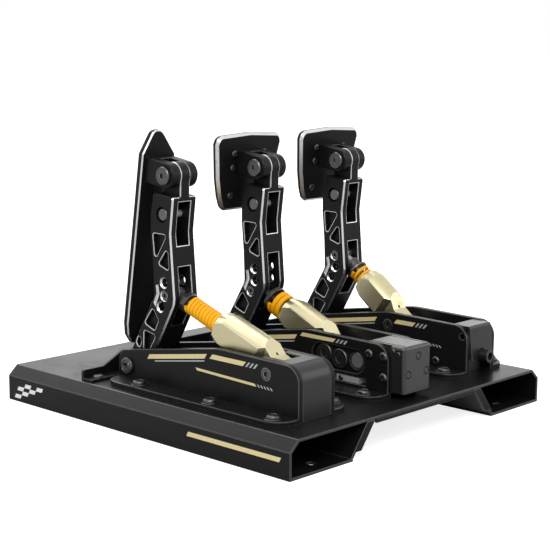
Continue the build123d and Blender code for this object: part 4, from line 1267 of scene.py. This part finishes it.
@dataclass
class Fasteners(Assembly):
    """Bolts and screws, each group set at the places of its CAD solids.

    Attributes:
        flange_seat_z: Height that the flange bolts' heads sit at.
        heel_head_mm: Height of the heads of the heel stop's screws.
    """

    flange_seat_z: float = 43.9
    heel_head_mm: float = 2.4

    def build(self) -> None:
        """Build the base's bolts and screws."""
        self.flange_bolts()
        self.pivot_bolts()
        self.small_screws()
        self.heel_screws()

    def flange_bolts(self) -> None:
        """The washered button bolts of the flanges."""
        seat = self.flange_seat_z * MM
        places = [((middle.x, middle.y, seat), (0.0, 0.0, 0.0)) for _, middle, _ in islands("flange_bolts")]
        self.bolts("flange_bolts", FLANGE_BOLT, places, 3)

    def pivot_bolts(self) -> None:
        """The wide button bolts at the ends of the axles."""
        places = []
        for _, middle, _ in islands("pivot_bolts"):
            pedal_x = min((self.layout.x(pedal) for pedal in Pedal), key=lambda x: abs(x - middle.x / MM))
            side = 1 if middle.x / MM > pedal_x else -1
            seat = (pedal_x + side * self.layout.plate_half) * MM
            places.append(((seat, middle.y, middle.z), (0.0, side * math.pi / 2, 0.0)))
        self.bolts("pivot_bolts", PIVOT_BOLT, places, 5)

    def small_screws(self) -> None:
        """The button screws of the plates and covers, and the plugs in the brake's box.

        A plug faces the far end of the base, and the screws face its right side.
        """
        groups: dict[tuple[float, float, bool], list[Spot]] = {}
        for low, middle, high in islands("cover_screws"):
            size = (high - low) / MM
            plug = size.y < size.x
            across, tall = (size.x, size.y) if plug else (size.z, size.x)
            seat = (middle.x, low.y, middle.z) if plug else (low.x, middle.y, middle.z)
            turn = (-math.pi / 2, 0.0, 0.0) if plug else (0.0, math.pi / 2, 0.0)
            groups.setdefault((round(across / 2, 1), round(tall, 1), plug), []).append((seat, turn))
        for label, plugs, profile, finish, nodes in (
            ("cover_screws_turned", False, BUTTON_SCREW, BLACK_OXIDE, ("cover_screws",)),
            ("box_plugs_turned", True, BOX_PLUG, BOX_PAINT, ()),
        ):
            pieces = [
                self.recipes.set_at(f"{label}_{radius}", profile, places, finish, 7, (radius, height))
                for (radius, height, plug), places in sorted(groups.items())
                if plug is plugs
            ]
            piece = join(label, [(part.data, Matrix()) for part in pieces], finish)
            for spent in pieces:
                bpy.data.objects.remove(spent)
            settle(piece, BASE, nodes)

    def heel_screws(self) -> None:
        """The screws of the heel stop."""
        places = []
        for _, middle, high in islands("heel_screws"):
            places.append(((middle.x, middle.y, high.z - self.heel_head_mm * MM), (0.0, 0.0, 0.0)))
        self.bolts("heel_screws", HEEL_SCREW, places, 9)


@dataclass
class Lever(PedalAssembly):
    """A pedal's arm with its cross pin and bolts.

    Attributes:
        cut_mm: Width of the bright cut edges.
        bolt_edge_mm: Rounding of the bolts.
        chamfer_mm: Width of the arm's own chamfers.
        chamfer_reach: How many such widths from the side a chamfer's middle is, at most.
        top_up: Least upward share of the normal on top of the head.
        slope_along: Least share along of the normal on the slopes beside the tongue.
        flat_across: Least share across of the normal on the marked field's floor.
        mark_depth_mm: Depth of the marked field by the damper holes.
        pin: Middle of the cross pin along and up.
        pin_clear_mm: Radius of the dark recess round it.
        pin_inner: Share of the arm's half width within which the pin is bright.
        root: Lowest and highest point of the tongue's flush root.
        tongue_half_mm: Half the tongue's width.
        root_slack_mm: How far beside the tongue an edge still counts as its root.
    """

    cut_mm: float = 1.0
    bolt_edge_mm: float = 0.35
    chamfer_mm: float = 1.5
    chamfer_reach: float = 1.6
    top_up: float = 0.6
    slope_along: float = 0.4
    flat_across: float = 0.99
    mark_depth_mm: float = 0.6
    pin: Flat = (-20.7, 215.4)
    pin_clear_mm: float = 9.0
    pin_inner: float = 0.6
    root: Flat = (229.9, 234.3)
    tongue_half_mm: float = 6.5
    root_slack_mm: float = 0.2

    def build(self) -> None:
        """Build the lever's pieces."""
        name = self.pedal.value
        body = Carrier.LEVER.of(self.pedal)
        milled = Machining(BLACK_ANODISE, CUT_ALUMINIUM, self.cut_mm)
        milled.make(f"{name}_arm_milled", f"{name}_arm", body, self.is_bright, self.is_cut)
        pin = Machining(self.turned("pin", "#7f7d79", "#6c6a66", self.pin), BLAST_ALUMINIUM, FINE_EDGE_MM)
        pin.make(f"{name}_cross_pin", f"{name}_arm_pin", body, self.is_inner)
        tilt = (self.layout.tilt_y, self.layout.tilt_z)
        head = Machining(self.turned("head", "#716f6c", "#5f5d5a", tilt), ZINC_SCREW, self.bolt_edge_mm)
        head.make(f"{name}_tilt_bolt_turned", f"{name}_tilt_bolt", body)
        bolt = Machining(BLACK_OXIDE, ZINC_SCREW, self.bolt_edge_mm)
        bolt.make(f"{name}_hinge_bolt", f"{name}_damper_bolt", body)

    def turned(self, part: str, color: str, shade: str, axis: Flat) -> Turned:
        """Dark steel turned about an axis across the arm, with marks of handling.

        Args:
            part: The part that has it.
            color: Its main colour.
            shade: The colour of its clouds.
            axis: Place of the axis along and up.

        Returns:
            The finish.
        """
        return Turned(
            f"turned_{part}_{self.pedal.value}", color, shade, 0.30, 0.06, ("#5e5a55", 0.4, 4.0), 0.01,
            even(0.5), metallic=1.0, center=(self.layout.x(self.pedal) * MM, axis[0] * MM, axis[1] * MM),
        )

    def out(self, middle: Vector) -> float:
        """How far a point is from the arm's middle plane, in millimetres."""
        return abs(middle.x / MM - self.layout.x(self.pedal))

    def is_bright(self, face: BMFace) -> bool:
        """Whether a face of the arm was cut after anodising.

        Args:
            face: The face.

        Returns:
            True where it is bright.
        """
        normal, middle = face.normal, face.calc_center_median()
        out, up, half = self.out(middle), middle.z / MM, self.layout.arm_half_width
        low, high = BEVELLED
        # The chamfers of the sides, but not on top of the head.
        if low < abs(normal.x) < high:
            on_top = normal.z > self.top_up and up > self.pin[1]
            return out > half - self.chamfer_reach * self.chamfer_mm and not on_top
        # The slopes beside the tongue.
        if low < normal.z < high and normal.y > self.slope_along and up > self.root[0]:
            return self.tongue_half_mm < out < half
        # The floor of the marked field.
        floor = half - self.mark_depth_mm
        return abs(normal.x) > self.flat_across and abs(out - floor) < self.mark_depth_mm / 4

    def is_inner(self, face: BMFace) -> bool:
        """Whether a face of the cross pin is inside the arm, where it is bright."""
        return self.out(face.calc_center_median()) < self.pin_inner * self.layout.arm_half_width

    def is_cut(self, middle: Vector) -> bool:
        """Whether an edge with this middle has a bright cut.

        Args:
            middle: The edge's middle.

        Returns:
            True where it has one.
        """
        away = math.hypot(middle.y / MM - self.pin[0], middle.z / MM - self.pin[1])
        beside = self.out(middle) < self.tongue_half_mm + self.root_slack_mm
        at_root = beside and self.root[0] < middle.z / MM < self.root[1]
        return away > self.pin_clear_mm and not at_root


@dataclass
class Pad(PedalAssembly):
    """A pad: its bracket, back plate, rubber face and screws.

    Attributes:
        edge_mm: Rounding of the bracket.
        rubber_edge_mm: Rounding of the rubber.
        front_mm: Height of the rubber face above the pad's frame.
        stud_pitch_mm: Spacing of the studs on the face.
        row_share: Spacing of their rows, as a share of it.
        half_columns: Studs on each side of the middle that are tried.
        stud_margin_mm: Bare border round them.
    """

    edge_mm: float = 0.6
    rubber_edge_mm: float = 0.8
    front_mm: float = 8.0
    stud_pitch_mm: float = 9.0
    row_share: float = 0.866
    half_columns: int = 8
    stud_margin_mm: float = 6.5

    def build(self) -> None:
        """Build the pad's pieces."""
        name = self.pedal.value
        body = Carrier.FACE.of(self.pedal)
        # The bracket's rims are paler grey: partly wear, partly painted highlight.
        dark = Machining(BLACK_ANODISE, BLACK_ANODISE_WORN_HIGHLIT_EDGE, self.edge_mm)
        dark.make(f"{name}_fork", f"{name}_bracket", body)
        plate = Machining(BLACK_ANODISE, CUT_ALUMINIUM)
        plate.make(f"{name}_back_plate", f"{name}_pad_plate", body, self.is_bright, never)
        rubber = Machining(GRIP_RUBBER, GRIP_RUBBER, self.rubber_edge_mm)
        rubber.make(f"{name}_rubber_face", f"{name}_pad_grip", body)
        if self.pedal is not Pedal.THROTTLE:
            self.screws(name, body)
        self.studs(name, body)

    def is_bright(self, face: BMFace) -> bool:
        """Whether a face is the plate's cut bevel.

        Args:
            face: The face.

        Returns:
            True on the bevel.
        """
        local = self.layout.pad_frame(self.pedal).to_3x3().inverted() @ face.normal
        low, high = BEVELLED
        return low < -local.z < high

    def screws(self, name: str, body: str) -> None:
        """The button screws on the pad's back.

        Args:
            name: The pedal's name.
            body: The body that they ride on.
        """
        pad = self.layout.pad_frame(self.pedal)
        turn = (pad.to_3x3() @ Euler((math.pi, 0.0, 0.0)).to_matrix()).to_euler()
        places = []
        for _, middle, _ in islands(f"{name}_pad_screws", pad.inverted()):
            places.append((tuple(pad @ Vector((middle.x, middle.y, 0.0))), tuple(turn)))
        self.bolts(f"{name}_pad_screws", PAD_SCREW, places, 11, body)

    def studs(self, name: str, body: str) -> None:
        """Small rubber studs in staggered rows over the face.

        Args:
            name: The pedal's name.
            body: The body that they ride on.
        """
        pad = self.layout.pad_frame(self.pedal)
        inverse = pad.inverted()
        points = [inverse @ v.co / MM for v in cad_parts[f"{name}_pad_grip"].data.vertices]
        outline = hull([(p.x, p.y) for p in points])
        turn = tuple(pad.to_euler())
        places = []
        low_y = min(y for _, y in outline)
        row_mm = self.stud_pitch_mm * self.row_share
        rows = int((max(y for _, y in outline) - low_y) / row_mm) + 1
        for row in range(rows):
            y = low_y + row * row_mm
            for column in range(-self.half_columns, self.half_columns + 1):
                x = (column + 0.5 * (row % 2)) * self.stud_pitch_mm
                if inside(outline, x, y, self.stud_margin_mm):
                    places.append((tuple(pad @ (Vector((x, y, self.front_mm)) * MM)), turn))
        piece = self.recipes.set_at(f"{name}_face_studs", FACE_STUD, places, GRIP_RUBBER, 13)
        settle(piece, body, ())


def hull(points: list[Flat]) -> list[Flat]:
    """The convex outline of flat points, turning left.

    Args:
        points: The points.

    Returns:
        Its corners.
    """
    ordered = sorted(set((round(x, 4), round(y, 4)) for x, y in points))
    lines = []
    for run in (ordered, ordered[::-1]):
        line: list[Flat] = []
        for x, y in run:
            while len(line) > 1:
                (ax, ay), (bx, by) = line[-2], line[-1]
                if (bx - ax) * (y - ay) - (by - ay) * (x - ax) > 0:
                    break
                line.pop()
            line.append((x, y))
        lines += line[:-1]
    return lines


def inside(outline: list[Flat], x: float, y: float, margin: float) -> bool:
    """Whether a point is inside a convex outline by a margin.

    Args:
        outline: The outline's corners, turning left.
        x: The point's first coordinate.
        y: Its second coordinate.
        margin: The margin.

    Returns:
        True where it is.
    """
    for (ax, ay), (bx, by) in zip(outline, outline[1:] + outline[:1]):
        long = math.hypot(bx - ax, by - ay)
        if ((bx - ax) * (y - ay) - (by - ay) * (x - ax)) / long < margin:
            return False
    return True


@dataclass
class Damper(PedalAssembly):
    """A damper: gold body, rod, collar and enamelled spring, in millimetres.

    Attributes:
        upper: The upper pin along and up.
        slope_deg: Slope of the damper.
        seat: Distance of the spring's collar end from the upper pin.
        reach: Length of the spring.
        radius: Middle radius of the spring.
        wire: Height and width of the flat wire.
        turns: Number of turns.
        dead: Turns that lie closed at each end.
        corner: Rounding of the wire, as a share of its width.
        steps: Points of the wire in a turn.
    """

    upper: Flat
    slope_deg: float
    seat: float
    reach: float
    radius: float
    wire: Flat
    turns: float
    dead: float
    corner: float = 0.3
    steps: int = 40

    def place(self) -> Matrix:
        """The damper's frame: Z from the arm to the foot, minus Y its top.

        Returns:
            The matrix that takes the damper's own points to the set's frame.
        """
        slope = math.radians(self.slope_deg)
        sine, cosine = math.sin(slope), math.cos(slope)
        turn = Matrix(((1.0, 0.0, 0.0), (0.0, -sine, cosine), (0.0, -cosine, -sine))).to_4x4()
        return Matrix.Translation(Vector((self.layout.x(self.pedal), *self.upper)) * MM) @ turn

    def build(self) -> None:
        """Build the damper's pieces."""
        name = self.pedal.value
        slope = math.radians(self.slope_deg)
        cylinder = Carrier.CYLINDER.of(self.pedal)
        plunger = Carrier.PLUNGER.of(self.pedal)
        plain, edge = champagne(self.pedal, slope), champagne(self.pedal, slope, edge=True)
        gold = Machining(plain, edge, least_turn_deg=24.0, sharp_deg=20.0)
        gold.make(f"{name}_gold_body", f"{name}_damper_body", cylinder)
        STEEL_WORK.make(f"{name}_ground_rod", f"{name}_rod", plunger)
        OXIDE_WORK.make(f"{name}_turned_collar", f"{name}_collar", plunger)
        self.spring(name, plunger, cylinder)

    def spring(self, name: str, plunger: str, cylinder: str) -> None:
        """The flat-wire spring between the collar and the body.

        Args:
            name: The pedal's name.
            plunger: The body of the collar's end.
            cylinder: The body of the other end.
        """
        high, wide = self.wire
        sizes = {"Radius": self.radius, "Start": self.seat, "Length": self.reach}
        sizes |= {"Wire Height": high, "Wire Width": wide, "Corner": self.corner * wide}
        inputs = {label: value * MM for label, value in sizes.items()}
        inputs |= {"Turns": self.turns, "Dead Turns": self.dead, "Steps": int(self.turns * self.steps) + 1}
        inputs["Finish"] = SPRING_ENAMEL.material()
        piece_name = f"{name}_wound_spring"
        mesh = grow(piece_name, self.recipes.coil, inputs)
        place = self.place()
        mesh.transform(place)
        bm = bmesh.new()
        bm.from_mesh(mesh)
        bmesh.ops.remove_doubles(bm, verts=bm.verts, dist=WIRE_MERGE_M)
        bmesh.ops.recalc_face_normals(bm, faces=bm.faces)
        piece = plain_object(piece_name, crisp(mesh_of(bm, "wire"), sharp_deg=50.0), SPRING_ENAMEL)
        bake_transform(piece)
        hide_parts(f"{name}_spring")
        LOG.info("%s runs from %s to %s, %d faces", piece.name, plunger, cylinder, len(piece.data.polygons))


# Studio


@dataclass(frozen=True)
class Lamp:
    """A soft box of the studio.

    Attributes:
        name: Its name.
        place: Where it hangs, in metres.
        size: Its width and height, in metres.
        power: Its power, in watts.
    """

    name: str
    place: Place
    size: Flat
    power: float

    def hang(self, target: Vector) -> None:
        """Hang the lamp and turn it to the target.

        Args:
            target: Where it points, in metres.
        """
        light = bpy.data.lights.new(self.name, "AREA")
        light.shape = "RECTANGLE"
        light.size, light.size_y = self.size
        light.energy = self.power
        lamp = link(self.name, light)
        lamp.location = self.place
        lamp.rotation_euler = (target - Vector(self.place)).to_track_quat("-Z", "Y").to_euler()
        lamp.visible_camera = False


@dataclass
class Studio:
    """Floor, lamps, world and camera.

    Attributes:
        floor_color: Colour of the pale floor.
        floor_shade: Colour that its mottle turns it towards.
        floor_radius: Its radius, in metres.
        floor_glow: What the floor adds near the object and far away, where only the camera sees it.
        floor_fade: Distances between which it rises, in metres.
        world_light: Strength of the world where it lights the object.
        target: Where the lamps point, in metres.
        camera_place: Place of the camera, in metres.
        azimuth_deg: Its angle about the object.
        elevation_deg: Its height angle.
        roll_deg: Its roll.
        lens_mm: Its lens.
        sensor_mm: Width of its sensor.
        lamps: The soft boxes.
    """

    floor_color: str = "#d2d2d2"
    floor_shade: str = "#d8d8d8"
    floor_radius: float = 30.0
    floor_glow: Flat = (0.80, 1.0)
    floor_fade: Flat = (0.35, 1.20)
    world_light: float = 0.5
    target: Place = (0.0, 0.0, 0.12)
    camera_place: Place = (1.08624, 1.02824, 0.39221)
    azimuth_deg: float = 133.391
    elevation_deg: float = 9.598
    roll_deg: float = 0.3139
    lens_mm: float = 91.798
    sensor_mm: float = 36.0
    lamps: tuple[Lamp, ...] = (
        Lamp("overhead_box", (-0.3, -1.6, 2.1), (2.6, 2.2), 36.0),
        Lamp("front_box", (1.9, 1.7, 2.3), (2.0, 1.6), 60.0),
        Lamp("side_box", (-1.7, 1.5, 0.9), (1.2, 1.2), 5.0),
        Lamp("back_box", (-1.6, -1.5, 0.5), (1.6, 0.6), 3.0),
    )

    def build(self) -> None:
        """Set up the studio."""
        bpy.context.scene.view_settings.view_transform = "Standard"
        self.floor()
        self.world()
        for lamp in self.lamps:
            lamp.hang(Vector(self.target))
        self.camera()

    def floor(self) -> None:
        """The pale floor, which keeps the object's shadow."""
        bm = bmesh.new()
        bmesh.ops.create_circle(bm, cap_ends=True, segments=96, radius=self.floor_radius)
        mesh = mesh_of(bm, "studio_floor")
        floor = link("studio_floor", mesh)
        material = bpy.data.materials.new("matt_studio_paper")
        tree = empty_tree(material)
        add = partial(add_node, tree)
        place = add("ShaderNodeTexCoord").outputs["Object"]
        mottle = add("ShaderNodeTexNoise", {"Vector": place, "Scale": 3.0, "Detail": 3.0})
        tones = {0: mottle, 6: linear(self.floor_color), 7: linear(self.floor_shade)}
        tone = add("ShaderNodeMix", tones, data_type="RGBA").outputs[2]
        away = add("ShaderNodeVectorMath", (place,), operation="LENGTH").outputs["Value"]
        fade = (away, *self.floor_fade, *self.floor_glow)
        rise = add("ShaderNodeMapRange", fade, interpolation_type="SMOOTHSTEP")
        seen = add("ShaderNodeLightPath").outputs["Is Camera Ray"]
        glow = add("ShaderNodeMath", (seen, rise), operation="MULTIPLY")
        looks = {"Base Color": tone, "Roughness": 0.9, "Specular IOR Level": 0.1}
        looks |= {"Emission Color": linear("#ffffff"), "Emission Strength": glow}
        shader = add("ShaderNodeBsdfPrincipled", looks)
        add("ShaderNodeOutputMaterial", {"Surface": shader})
        mesh.materials.append(material)

    def world(self) -> None:
        """White where the camera, a reflection or glass sees it, and softer where it lights the object."""
        world = bpy.data.worlds.new("soft_white_studio")
        bpy.context.scene.world = world
        tree = empty_tree(world)
        add = partial(add_node, tree)
        ray = add("ShaderNodeLightPath").outputs
        rays = (ray["Is Camera Ray"], ray["Is Glossy Ray"])
        both = add("ShaderNodeMath", rays, operation="MAXIMUM")
        seen = add("ShaderNodeMath", (both, ray["Is Transmission Ray"]), operation="MAXIMUM")
        strength = add("ShaderNodeMapRange", {"Value": seen, "To Min": self.world_light, "To Max": 1.0})
        light = add("ShaderNodeBackground", {"Color": linear("#ffffff"), "Strength": strength})
        add("ShaderNodeOutputWorld", {"Surface": light})

    def camera(self) -> None:
        """The camera at the photograph's viewing angle."""
        turn, lift, roll = (math.radians(a) for a in (self.azimuth_deg, self.elevation_deg, self.roll_deg))
        back = Vector((math.sin(turn) * math.cos(lift), -math.cos(turn) * math.cos(lift), math.sin(lift)))
        right = (-back).cross(Vector((0.0, 0.0, 1.0))).normalized()
        up = right.cross(-back)
        across = math.cos(roll) * right + math.sin(roll) * up
        above = math.cos(roll) * up - math.sin(roll) * right
        lens = bpy.data.cameras.new("photo_camera")
        lens.lens = self.lens_mm
        lens.sensor_width = self.sensor_mm
        camera = link("photo_camera", lens)
        axes = Matrix((across, above, back)).transposed().to_4x4()
        camera.matrix_world = Matrix.Translation(Vector(self.camera_place)) @ axes
        bpy.context.scene.camera = camera


def main() -> None:
    """Build the studio and every piece."""
    logging.basicConfig(level=logging.INFO, format="%(name)s: %(message)s")
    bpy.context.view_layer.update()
    Studio().build()
    layout = Layout()
    recipes = Recipes()
    Base(layout, recipes).build()
    Housings(layout, recipes).build()
    Fasteners(layout, recipes).build()
    for pedal in Pedal:
        Lever(layout, recipes, pedal).build()
        Pad(layout, recipes, pedal).build()
    dampers = (
        Damper(
            layout, recipes, Pedal.THROTTLE, upper=(-17.28, 132.67), slope_deg=19.547, seat=23.0, reach=49.41,
            radius=8.3, wire=(4.0, 3.2), turns=10.0, dead=0.5,
        ),
        Damper(
            layout, recipes, Pedal.BRAKE, upper=(-23.30, 120.41), slope_deg=23.341, seat=25.0, reach=21.01,
            radius=12.4, wire=(5.2, 3.8), turns=2.6, dead=0.2,
        ),
        Damper(
            layout, recipes, Pedal.CLUTCH, upper=(-17.78, 146.01), slope_deg=37.702, seat=27.5, reach=44.06,
            radius=9.8, wire=(3.4, 2.8), turns=7.0, dead=0.4,
        ),
    )
    for damper in dampers:
        damper.build()


if __name__ == "__main__":
    main()
